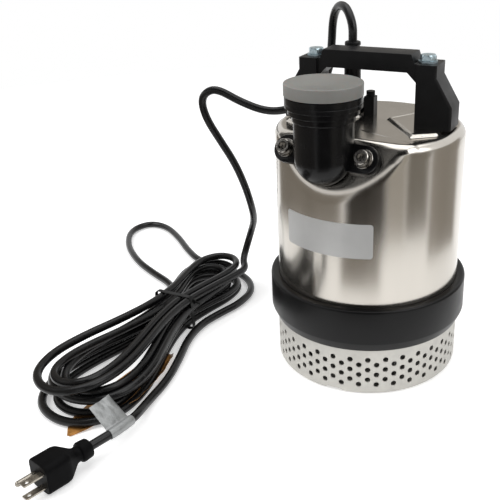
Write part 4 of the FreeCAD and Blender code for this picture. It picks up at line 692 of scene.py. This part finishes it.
# Share of the plug's length, shares of the width and height of its face, and corner radius
PLUG_SECTIONS = (
    (0.0, 0.01, 0.01, 0.1), (0.0, 0.56, 0.54, 6.0), (0.02, 0.62, 0.6, 7.0), (0.15, 0.66, 0.64, 7.6),
    (0.185, 0.66, 0.64, 7.6), (0.21, 0.62, 0.6, 7.2), (0.225, 0.52, 0.5, 6.0), (0.25, 0.5, 0.48, 5.8),
    (0.3, 0.51, 0.49, 5.8), (0.335, 0.56, 0.54, 6.0), (0.36, 0.61, 0.59, 6.0), (0.5, 0.9, 0.9, 6.0),
    (0.53, 0.955, 0.955, 5.8), (0.57, 0.985, 0.985, 5.6), (0.62, 1.0, 1.0, 5.5), (0.955, 1.0, 1.0, 5.5),
    (0.985, 0.985, 0.985, 5.2), (1.0, 0.95, 0.95, 4.9), (1.0, 0.01, 0.01, 0.1),
)
PIN_RADIUS = 2.4
PIN_STRAIGHT = 63.0
PIN_OFFSET = 5.95


def at_plug(surface):
    """Moves a surface from the plug's own frame, its axis +Z and its width +X, to its place on the floor."""
    side = np.cross(PLUG_AXIS, (0, 0, 1))
    return (surface @ np.stack([side, (0, 0, 1), PLUG_AXIS]) + PLUG_REAR) * MM


def make_plug():
    """Plug: rounded rectangles lofted from the barrel by the neck to the block; a pin with a round tip."""
    rows = []
    for share, across, up, corner in PLUG_SECTIONS:
        row = rounded_rectangle(PLUG_FACE[0] * across, PLUG_FACE[1] * up, corner, 8)
        rows.append(joined(row[:, 0], row[:, 1], PLUG_LENGTH * share))
    body = skin("moulded_plug", "plug_body", [at_plug(np.stack(rows))], coat="vinyl")
    profile = [(0, PLUG_LENGTH), (PIN_RADIUS, PLUG_LENGTH), (PIN_RADIUS, PIN_STRAIGHT)]
    for angle in (0.4, 0.8, 1.2):
        profile.append((PIN_RADIUS * math.cos(angle), PIN_STRAIGHT + PIN_RADIUS * math.sin(angle)))
    profile.append((0, PIN_STRAIGHT + PIN_RADIUS))
    pin = skin("earth_pin", "plug_ground_pin", [at_plug(turned(profile, 32, (PIN_OFFSET, 0)) / MM)])
    return [body, refined("plug_blades", "contact_blades", 0.0003), pin]


FLAG_WAY = (-0.789, 0.221, 0.574)
FLAG_REACH = 30.4
FLAG_ROOT = 5.0
FLAG_HALF_GAP = 0.17
FLAG_OUTER = 4.7
FLAG_INNER = 4.3
# How far before the plug's rear the label starts and ends
FLAG_FROM_PLUG = (54, 27)
FLAG_ROWS = 22


def make_flag(line):
    """Bare flag label folded round the cord: a loop about the cord's line with its two ends laid together.

    The ends bend up by a power of the distance from the cord, with two sine creases.
    """
    steps = np.concatenate([[0], np.cumsum(np.linalg.norm(np.diff(line, axis=0), axis=1))])
    where = steps[-1] - np.linspace(*FLAG_FROM_PLUG, FLAG_ROWS)

    def place(run):
        return joined(*(np.interp(run, steps, line[:, axis]) for axis in range(3)))

    ahead = unit(place(where + 2) - place(where - 2))
    out = unit(np.array(FLAG_WAY) - ahead * (ahead @ FLAG_WAY)[:, None])
    up = np.cross(ahead, out)
    share = np.linspace(0, 1, FLAG_ROWS)[:, None]
    turn = np.radians(np.linspace(4, 356, 25))

    def wrapped(ends, half_gap, radius):
        end = joined(ends, half_gap)
        loop = radius * joined(np.cos(turn), np.sin(turn))
        section = np.concatenate([end, loop, end[::-1] * (1, -1)])
        free = np.clip((section[:, 0] - 5) / 25, 0, 1) * (np.abs(section[:, 1]) < 1)
        crease = 0.5 * np.sin(9 * share + 4 * free) + 0.35 * np.sin(17 * share - 7 * free)
        bend = free ** 1.5 * (2.4 * (share - 0.45) + crease)
        across = section[:, 0] - 0.06 * free * np.abs(bend)
        lifted = (section[:, 1] + bend)[..., None] * up[:, None]
        return place(where)[:, None] + across[..., None] * out[:, None] + lifted

    ends = np.linspace(FLAG_REACH, FLAG_ROOT, 16)
    outer = wrapped(ends, FLAG_HALF_GAP, FLAG_OUTER)
    inner = wrapped(FLAG_INNER + 0 * ends, 0, FLAG_INNER)
    surfaces = [outer, inner, np.stack([outer[0], inner[0]]), np.stack([outer[-1], inner[-1]])]
    surfaces.append(np.stack([outer[:, 0], outer[:, -1]]))
    # The foil finish is the label foil painted darker, as painted shade
    return skin("bare_flag_label", "cord_tag", [surface * MM for surface in surfaces], coat="foil")


# Places along the film from its foot, its left and right edges there, and how high the right edge stands
FILM = (
    (-248.0, -190.0, -186.0, 0.4), (-236.0, -199.0, -178.0, 1.5), (-222.0, -203.0, -170.0, 4.0),
    (-205.0, -203.0, -163.0, 7.0), (-188.0, -203.0, -156.5, 9.0), (-160.0, -202.0, -156.5, 10.0),
    (-140.0, -200.0, -159.5, 10.0), (-122.0, -199.0, -164.5, 9.0), (-108.0, -197.0, -170.0, 6.0),
    (-98.0, -192.0, -176.0, 3.0),
)
FILM_SHEET = 0.15
# Share of the width that lies flat, and the level of that part
FILM_FLAT = 0.76
FILM_LEVEL = 0.35


def make_film():
    """Amber film: flat under the hank, its free side curled up like a scoop, with shallow sine creases."""
    rows = np.linspace(0, len(FILM) - 1, 90)
    columns = (np.interp(rows, range(len(FILM)), column)[:, None] for column in np.array(FILM).T)
    along, left, right, lift = columns
    share = np.linspace(0, 1, 36)
    free = np.clip((share - FILM_FLAT) / (1 - FILM_FLAT), 0, 1)
    crease = np.sin(along * 0.41 + share * 5) + 0.7 * np.sin(along * 0.23 - share * 9)
    x = left + (right - left) * share + 0.04 * free * lift * np.sin(along * 0.17)
    z = FILM_LEVEL + free ** 1.4 * lift * (1 + 0.03 * crease)
    surfaces = sheet_of(joined(x, along, z), FILM_SHEET)
    return skin("amber_film_tag", "paper_tag", surfaces, coat="amber_film", slot="label")


def make_cord():
    cord, line = make_cord_line()
    make_boot()
    make_tie()
    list(make_plug())
    make_flag(line)
    make_film()


# Strainer

STRAINER_RADIUS = 90.3
STRAINER_TOP = 55.5
STRAINER_FOOT_ROUND = 4.0
COLUMNS = 68
ROWS = 6
ROW_STEP = 5.4
FIRST_ROW = 11.0
# Height and half width of the notch in the foot, at the front
NOTCH_HEIGHT = 2.2
NOTCH_WIDTH = 8.0


def make_strainer(hole_radius, sheet):
    """Perforated cup: each hole is a ring of 24 points joined to the border of its tile, and tiles meet."""
    pitch = 2 * np.pi / COLUMNS
    corners = (0, 4, 12, 16, 24)
    across = np.interp(range(25), corners, (1, -1, -1, 1, 1))
    up = np.interp(range(25), corners, (1, 1, -1, -1, 1))
    border = joined(across * pitch / 2, up * ROW_STEP)
    turn = np.arctan2(border[:, 1], border[:, 0] * STRAINER_RADIUS)
    hole = hole_radius * joined(np.cos(turn) / STRAINER_RADIUS, np.sin(turn)) / MM
    shares = np.array((0, 0.25, 0.6, 1.0))[:, None, None]
    tile = hole * (1 - shares) + border * shares

    def wrapped(turns, levels):
        return about((0, 0), STRAINER_RADIUS, turns, levels) * MM

    surfaces = []
    for column in range(COLUMNS):
        for row in range(column % 2, ROWS, 2):
            surfaces.append(wrapped(tile[..., 0] + pitch * column, tile[..., 1] + FIRST_ROW + ROW_STEP * row))
        start = FIRST_ROW - ROW_STEP if column % 2 else FIRST_ROW + (ROWS - 1) * ROW_STEP
        edge = pitch * (column + np.linspace(-0.5, 0.5, 5))
        surfaces.append(wrapped(*np.meshgrid(edge, start + np.linspace(0, ROW_STEP, 5))))
    plain_top = FIRST_ROW - ROW_STEP
    turns = pitch * (np.arange(4 * COLUMNS + 1) / 4 - 0.5)
    rounding = arc((STRAINER_RADIUS - STRAINER_FOOT_ROUND, STRAINER_FOOT_ROUND), STRAINER_FOOT_ROUND, -90, 0)
    profile = [(0, 0), (40, 0), (70, 0), *rounding, (STRAINER_RADIUS, plain_top)]
    radius, level = np.array(profile).T[..., None]
    from_front = (np.mod(turns + 3 * np.pi / 2, 2 * np.pi) - np.pi) * STRAINER_RADIUS
    notch = NOTCH_HEIGHT * np.exp(-(from_front / NOTCH_WIDTH) ** 6)
    level = level + notch * (1 - level / plain_top) * (radius > 75)
    surfaces.append(about((0, 0), radius, turns, level) * MM)
    surfaces.append(wrapped(*np.meshgrid(turns, np.linspace(FIRST_ROW + ROWS * ROW_STEP, STRAINER_TOP, 5))))
    cup = skin("perforated_strainer", "strainer", surfaces)
    wall = cup.modifiers.new("sheet", "SOLIDIFY")
    wall.thickness = sheet
    wall.offset = -1


# Drawn shell

SHOULDER_ROUND = 9.0
SLANT_ROUND = 4.2
PAD_CORNERS = ((14, 11), (52, -40), (72, -26), (72, 30), (46, 60))
PAD_RISE = 1.9
PAD_SLOPE = 3.2
RIB_RISE = 0.9
# How far in from the pad's outline the rib stands, and its width
RIB_INSET = 2.0
RIB_WIDTH = 1.5
STRIP_RISE = 0.7
STRIP_SLOPE = 3.0
# Where the strip's edge crosses the middle, and how far forward it runs for each millimetre outward
STRIP_FRONT = -30
STRIP_FALL = 27 / 62
SHELL_FOOT = 64
PLATE_LEVELS = (141.0, 173.5)
PLATE_TURNS = (-35, 23)
PLATE_SHEET = 0.5
PLATE_CORNER = 2.0


def round_meet(first, second, radius):
    """Larger of two distances, rounded where they meet."""
    inner = np.minimum(np.maximum(first, second), -radius)
    return inner + np.hypot(np.maximum(first + radius, 0), np.maximum(second + radius, 0))


def pad_height(across, along):
    """Rise of the two pads under the handle legs: level in a five sided outline, with a slope and a rib."""
    corners = np.array(PAD_CORNERS, float)
    side = unit(np.roll(corners, -1, axis=0) - corners)
    outside = np.full(np.shape(across), -1e3)
    for corner, way in zip(corners, side):
        outside = np.maximum(outside, (np.abs(across) - corner[0]) * way[1] - (along - corner[1]) * way[0])
    rib = RIB_RISE * np.exp(-((outside + RIB_INSET) / RIB_WIDTH) ** 2)
    return PAD_RISE * eased(0.5 - outside / PAD_SLOPE) + rib


def strip_rise(across, along):
    """Rise of the deck behind its front strip, which ends in a shallow point."""
    edge = STRIP_FRONT - STRIP_FALL * np.abs(across)
    return STRIP_RISE * eased(0.5 - (along - edge) / STRIP_SLOPE)


def shell_outside(points, wall=0.0):
    """Distance outside the drawn form, by which its surface is found: a cup cut by the slanted face."""
    x, y, z = (points[..., axis] for axis in range(3))
    deck = DECK_LEVEL - wall + pad_height(x, y) + strip_rise(x, y)
    body = round_meet(np.hypot(x, y) - (SHELL_RADIUS - wall), z - deck, SHOULDER_ROUND)
    slant = points @ FACE_OUT - (SHELL_RADIUS * math.sin(SLANT) + FACE_FOOT_LEVEL * math.cos(SLANT) - wall)
    return round_meet(body, slant, SLANT_ROUND)


def shell_surface(wall):
    """Points of the drawn form along rays from a line inside it, found by halving.

    The rays aim up the wall, round the shoulder and in over the deck, closer where the slanted face lies.
    """
    turn = 2 * np.pi * (np.arange(361) % 360) / 360
    levels = np.concatenate([np.linspace(SHELL_FOOT, 180, 12)[:-1], np.linspace(180, 231, 46)[:-1]])
    bend = np.linspace(0, np.pi / 2, 9)
    reach = np.concatenate([np.full(len(levels), 92.0), 83 + 9 * np.cos(bend), np.linspace(83, 0, 72)[1:]])
    height = np.concatenate([levels, 236 + 9 * np.sin(bend), np.full(71, 245.0)])
    target = about((0, 0), reach[:, None], turn, height[:, None])
    source = np.zeros_like(target)
    source[..., 1] = 10.0
    source[..., 2] = np.minimum(target[..., 2], 190)
    way = target - source
    found = halved(lambda share: shell_outside(source + way * share[..., None], wall) < 0, way.shape[:2])
    return source + way * found[..., None]


def make_shell(sheet):
    """Drawn shell: a rounded cylinder cut by the slanted face; a second, smaller one lines it."""
    outer = shell_surface(0.0)
    inner = shell_surface(sheet / MM)
    rim = np.stack([outer[0], inner[0]])
    skin("drawn_shell", "outer_shell", [outer * MM, inner * MM, rim * MM])


def make_nameplate():
    """Bare plate bent round the shell: a thin box with rounded corners wrapped on the shell's radius."""
    low, high = PLATE_LEVELS
    start, stop = (math.radians(turn) for turn in PLATE_TURNS)
    width = SHELL_RADIUS * (stop - start)
    columns = (np.linspace(0, 1, 49) - 0.5) * width
    across, up = np.meshgrid(columns, (np.linspace(0, 1, 13) - 0.5) * (high - low))
    reach = np.maximum(np.abs(across) - (width / 2 - PLATE_CORNER), 0)
    limit = (high - low) / 2 - PLATE_CORNER + np.sqrt(np.maximum(PLATE_CORNER ** 2 - reach ** 2, 0))
    up = np.clip(up, -limit, limit)
    turn = across / SHELL_RADIUS + (start + stop) / 2
    radius = SHELL_RADIUS + 0.1
    middle = joined(radius * np.sin(turn), -radius * np.cos(turn), up + (low + high) / 2)
    skin("nameplate", None, sheet_of(middle, PLATE_SHEET), slot="label")


# Discharge elbow and its cap

NECK_RADIUS = 26.2
WAY_RADIUS = 22.0
# Level of the shoulder under the thread, where the bore starts
WAY_LEVEL = 269.0
BALL = PORT + (0, 0, 228.0)
GASKET = 1.5
EAR_RADIUS = 12.5
# Radius in the neck's wall at which the flange starts, and how far out that is looked for
FLANGE_START = 24.1
FLANGE_SEARCH = 60
# Two inch pipe thread: pitch, radius at its root, depth, upper and lower level
THREAD_PITCH = 2.209
THREAD_ROOT = 28.4
THREAD_DEPTH = 1.3
THREAD_LEVELS = (290.0, 269.6)
# Stages of the outside and the rim of the bell, upwards
ELBOW_STAGES = (
    (26.2, 259.6), (26.8, 260.0), (27.4, 260.8), (27.4, 265.5), (27.9, 266.0), (30.2, 266.0), (30.8, 266.6),
    (30.8, 270.8), (31.4, 271.4), (32.7, 271.4), (33.4, 272.0), (33.4, 275.2), (33.0, 275.6), (33.0, 276.4),
    (33.4, 276.8), (33.4, 281.1), (33.0, 281.5), (32.5, 281.7), (32.5, 290.3), (31.8, 291.0), (29.4, 291.0),
    (THREAD_ROOT, THREAD_LEVELS[0]),
)
# Edge of the flange: how far in from its outline, None at the neck, and how far off the face
FLANGE_EDGE = (
    (None, 1.5), (0, 1.5), (0, 5.3), (0.35, 6.15), (1.2, 6.5), (None, 6.5), (None, 6.15), (None, 5.3),
    (None, 1.5),
)
CAP_PROFILE = (
    (0, 291.9), (30.2, 291.9), (31.4, 292.3), (32.8, 292.4), (33.6, 292.1), (33.9, 291.4), (33.9, 282.2),
    (33.6, 281.9), (33.0, 281.9), (32.85, 282.1), (32.8, 291.2), (32.6, 291.3), (0, 291.3),
)


def path_down(share, turn, radius, top):
    """Point of the neck's wall a share of the way down: a straight drop, then a quarter of the ball."""
    drop = np.minimum(share * 2, 1)
    bend = np.maximum(share * 2 - 1, 0) * np.pi / 2
    level = top + (BALL[2] - top) * drop - radius * np.sin(bend)
    return about(PORT, radius * np.cos(bend), turn, level)


def neck_wall(turn, radius, top):
    """Rows of the neck's wall down to the gasket's face or the deck."""
    def clear(share):
        place = path_down(share, turn, radius, top)
        out = (place - on_face(0, 0, 0)) @ FACE_OUT - GASKET
        return np.maximum(out, place[..., 2] - DECK_LEVEL - 1) > 0

    end = halved(clear, turn.shape)
    return path_down(np.linspace(0, 1, 56)[:, None] * end, turn, radius, top)


def elbow_thread(turn):
    """Helical thread inside the bell: the radius falls and rises once a pitch and once a turn."""
    high, low = THREAD_LEVELS
    level = np.linspace(high, low, 75)[:, None]
    wave = 2 * np.abs(np.mod(level / THREAD_PITCH - turn / (2 * np.pi), 1) - 0.5)
    radius = THREAD_ROOT - THREAD_DEPTH * wave * np.clip(np.minimum(level - low, high - level) / 1.5, 0, 1)
    return about(PORT, radius, turn, level)


def elbow_flange():
    """Flange by turn on the face: two round ears joined by straight sides, from where it leaves the neck."""
    turn = np.radians(np.linspace(90, 450, 361))
    across, up = np.cos(turn), np.sin(turn)
    side = EAR_RADIUS / np.maximum(np.abs(up), 1e-6)
    end = FLANGE_SPREAD * np.abs(across)
    end = end + np.sqrt(np.maximum(EAR_RADIUS ** 2 - (FLANGE_SPREAD * up) ** 2, 0))
    ears = np.where(side * np.abs(across) < FLANGE_SPREAD, side, end)
    reach = (ears ** 24 + NECK_RADIUS ** 24) ** (1 / 24)

    def in_wall(share):
        reach = FLANGE_SEARCH * share
        off = on_face(reach * across, FLANGE_RISE + reach * up, 4) - BALL
        return np.sqrt(off[:, 0] ** 2 + off[:, 1] ** 2 + np.minimum(off[:, 2], 0) ** 2) < FLANGE_START

    start = FLANGE_SEARCH * halved(in_wall, turn.shape)
    width = np.maximum(reach - start, 0)
    kept = np.flatnonzero(width > 0)
    kept = slice(kept[0] - 1, kept[-1] + 2)
    across, up, start, width = across[kept], up[kept], start[kept], width[kept]
    rows = []
    for inset, out in FLANGE_EDGE:
        distance = start if inset is None else start + np.maximum(width - inset, 0)
        rows.append(on_face(distance * across, FLANGE_RISE + distance * up, out))
    return np.stack(rows)


def make_elbow():
    """Elbow: stages turned about the discharge axis, a neck that ends in a ball, a thread and a flange."""
    turn = full_turn(144)
    outside = neck_wall(turn, NECK_RADIUS, ELBOW_STAGES[0][1])
    inside = neck_wall(turn, WAY_RADIUS, WAY_LEVEL)
    floor = turned([(THREAD_ROOT, THREAD_LEVELS[1]), (WAY_RADIUS, WAY_LEVEL)], 144, PORT)
    seat = np.stack([outside[-1], inside[-1]])
    stages = turned(ELBOW_STAGES, 144, PORT)
    thread, flange = (part * MM for part in (elbow_thread(turn), elbow_flange()))
    surfaces = [outside * MM, stages, thread, floor, inside * MM, seat * MM, flange]
    skin("cast_elbow", "discharge_elbow", surfaces)


def make_cap():
    """Dust cap: a thin cup turned about the discharge axis, with a shallow raised rim."""
    skin("dust_cap", "discharge_cap", [turned(CAP_PROFILE, 128, PORT)], body="cap")


# Mouldings


def make_band():
    """Bumper band: a closed profile with rounded edges and a tapered foot, turned about the pump's axis."""
    profile = [(90.6, 49.0), (91.8, 49.0), (92.3, 49.2), (96.1, 57.5), (96.5, 58.8), (96.5, 89.7)]
    profile += arc((94.2, 89.7), 2.3, 0, 90, 6)
    profile += [(89.3, 92.0), (88.7, 91.6), (88.7, 64.0), (90.6, 64.0), (90.6, 49.0)]
    skin("rubber_band", "bumper_band", [turned(profile, 192)])


def make_gland():
    """Gland nut: a hexagon whose upper corners are cut by a cone."""
    profile = [
        (8.35, 242.6), (13.0, 242.6), (13.8, 243.3), (13.8, 252.0), (12.6, 253.6), (11.4, 254.4),
        (8.7, 254.6), (8.35, 254.2), (8.35, 242.6),
    ]
    skin("hexagon_gland", "gland_nut", [turned(profile, 96, BOOT, hexagon(24.0))])


def make_mouldings(handle_edge):
    make_band()
    make_gland()
    refined("handle", "moulded_handle", handle_edge)
    refined("vent_plug", "moulded_vent", 0.0009)


# Screws

SOCKET_BOLTS = [on_face(side * FLANGE_SPREAD, FLANGE_RISE, 0) for side in (-1, 1)]
SOCKET_KEY = 6.0
HANDLE_BOLTS = [(side * 53.2, 0.0) for side in (-1, 1)]
# Top of the washers under the handle screws
HANDLE_SEAT = 300.6
HANDLE_KEY = 13.0
# Radius and height of the washers, heads and sockets off the face
SOCKET_WASHER = ((4.2, 6.5), (8.2, 6.5), (8.4, 6.7), (8.4, 7.9), (8.2, 8.1), (4.2, 8.1), (4.2, 6.5))
SOCKET_HEAD = ((4, 0), (4, 8.1), (6.4, 8.1), (6.5, 8.3), (6.5, 13.9), (5.9, 14.6), (3.9, 14.6))
SOCKET_INSIDE = ((3.9, 14.6), (3.7, 14.4), (3.7, 10.6), (0, 10.2))
# Radius and height above the seat, for the heads and the shanks of the handle screws
HEXAGON_HEAD = ((0, 0), (6.2, 0), (6.2, 0.4), (7.6, 0.4), (7.6, 4.2), (6.3, 5.2), (0, 5.3))
HEXAGON_SHANK = ((0, -71.8), (3.2, -71.8), (4.0, -71.0), (4.0, 0), (0, 0))


def make_socket_screws():
    """Socket heads: a turned cup whose inner rows are limited to a hexagon, on a washer with round edges."""
    parts = (turned(SOCKET_HEAD, 72), turned(SOCKET_INSIDE, 72, reach=hexagon(SOCKET_KEY)))
    heads = [set_on(part, place, FACE_OUT) for place in SOCKET_BOLTS for part in parts]
    washers = [set_on(turned(SOCKET_WASHER, 64), place, FACE_OUT) for place in SOCKET_BOLTS]
    skin("socket_screws", "elbow_bolts", heads, outward=False, coat="bright_zinc")
    skin("elbow_screw_washers", "elbow_washers", washers, coat="bright_zinc")


def make_hex_screws():
    """Hexagon heads: rows limited to a hexagon, the top ones in a cone, which gives the arcs on the flats."""
    surfaces = []
    for place in HANDLE_BOLTS:
        head, shank = (np.array(rows) + (0, HANDLE_SEAT) for rows in (HEXAGON_HEAD, HEXAGON_SHANK))
        surfaces.append(turned(head, 96, place, hexagon(HANDLE_KEY)))
        surfaces.append(turned(shank, 48, place))
    skin("handle_screws", "handle_bolts", surfaces)


# Settings, operators and panel


def colour_setting(name, description, code):
    return bpy.props.FloatVectorProperty(
        name=name, description=description, subtype="COLOR", size=3, min=0, max=1, default=linear(code)
    )


def size_setting(name, description, default, low, high):
    """Length in metres, its default and limits given in millimetres."""
    limits = {"default": default * MM, "min": low * MM, "max": high * MM}
    return bpy.props.FloatProperty(
        name=name, description=description, subtype="DISTANCE", unit="LENGTH", **limits
    )


class PumpColours(bpy.types.PropertyGroup):
    """Colours of the finishes that a user would change"""

    shell: colour_setting("Shell", "Colour of the polished shell", "#C9C4BC")
    moulding: colour_setting("Mouldings", "Colour of the black mouldings and castings", "#101011")
    cord: colour_setting("Cord", "Colour of the cord's jacket", "#121213")
    cap: colour_setting("Cap", "Colour of the dust cap", "#7C7B77")
    film: colour_setting("Film", "Colour of the film tag under the hank", "#D79A55")


class PumpSizes(bpy.types.PropertyGroup):
    """Sizes that a user would change"""

    hole_radius: size_setting("Hole radius", "Radius of the strainer's holes", 2.6, 1.0, 2.65)
    sheet: size_setting("Sheet", "Thickness of the shell and the strainer", 1.2, 0.5, 1.8)
    handle_edge: size_setting("Handle edge", "Rounding of the handle's edges", 1.1, 0.2, 2.0)


class PUMP_OT_finishes(bpy.types.Operator):
    """Makes the finishes and gives each solid of the frame its own"""

    bl_idname = "pump.finishes"
    bl_label = "Finishes"

    def execute(self, context):
        FINISHES.update(make_finishes(context.scene.pump_colours))
        dress_nodes()
        return {"FINISHED"}


class PUMP_OT_stage(bpy.types.Operator):
    """Sets the camera, the world, the floor, the cards that gloss sees and the lamps"""

    bl_idname = "pump.stage"
    bl_label = "Stage"

    def execute(self, context):
        context.scene.view_settings.view_transform = "Standard"
        make_camera()
        make_world()
        make_floor()
        make_cards()
        make_lamps()
        return {"FINISHED"}


class PUMP_OT_cord(bpy.types.Operator):
    """Lays the cord from the boot through the hank to the plug, with its tie, label and film"""

    bl_idname = "pump.cord"
    bl_label = "Cord"

    def execute(self, context):
        make_cord()
        return {"FINISHED"}


class PUMP_OT_strainer(bpy.types.Operator):
    """Makes the perforated strainer"""

    bl_idname = "pump.strainer"
    bl_label = "Strainer"

    def execute(self, context):
        sizes = context.scene.pump_sizes
        make_strainer(sizes.hole_radius, sizes.sheet)
        return {"FINISHED"}


class PUMP_OT_shell(bpy.types.Operator):
    """Makes the drawn shell and its bare plate"""

    bl_idname = "pump.shell"
    bl_label = "Shell"

    def execute(self, context):
        make_shell(context.scene.pump_sizes.sheet)
        make_nameplate()
        return {"FINISHED"}


class PUMP_OT_discharge(bpy.types.Operator):
    """Makes the discharge elbow and its dust cap"""

    bl_idname = "pump.discharge"
    bl_label = "Discharge"

    def execute(self, context):
        make_elbow()
        make_cap()
        return {"FINISHED"}


class PUMP_OT_mouldings(bpy.types.Operator):
    """Makes the bumper band, handle, gland nut and vent plug"""

    bl_idname = "pump.mouldings"
    bl_label = "Mouldings"

    def execute(self, context):
        make_mouldings(context.scene.pump_sizes.handle_edge)
        return {"FINISHED"}


class PUMP_OT_screws(bpy.types.Operator):
    """Makes the screws of the handle and the elbow"""

    bl_idname = "pump.screws"
    bl_label = "Screws"

    def execute(self, context):
        make_socket_screws()
        make_hex_screws()
        return {"FINISHED"}


class PUMP_PT_parts(bpy.types.Panel):
    """Lists the pump's settings and the operators that build it"""

    bl_idname = "PUMP_PT_parts"
    bl_label = "Sump pump"
    bl_space_type = "VIEW_3D"
    bl_region_type = "UI"
    bl_category = "Sump pump"

    def draw(self, context):
        for group in (context.scene.pump_colours, context.scene.pump_sizes):
            for name in group.__annotations__:
                self.layout.prop(group, name)
        for operator in OPERATORS:
            self.layout.operator(operator.bl_idname)


OPERATORS = (
    PUMP_OT_finishes,
    PUMP_OT_stage,
    PUMP_OT_cord,
    PUMP_OT_strainer,
    PUMP_OT_shell,
    PUMP_OT_discharge,
    PUMP_OT_mouldings,
    PUMP_OT_screws,
)
CLASSES = (PumpColours, PumpSizes, *OPERATORS, PUMP_PT_parts)


def register():
    for kind in CLASSES:
        bpy.utils.register_class(kind)
    bpy.types.Scene.pump_colours = bpy.props.PointerProperty(type=PumpColours)
    bpy.types.Scene.pump_sizes = bpy.props.PointerProperty(type=PumpSizes)


def unregister():
    del bpy.types.Scene.pump_colours
    del bpy.types.Scene.pump_sizes
    for kind in reversed(CLASSES):
        bpy.utils.unregister_class(kind)


def main():
    register()
    for step in ("finishes", "stage", "cord", "strainer", "shell", "discharge", "mouldings", "screws"):
        getattr(bpy.ops.pump, step)()


if __name__ == "__main__":
    main()
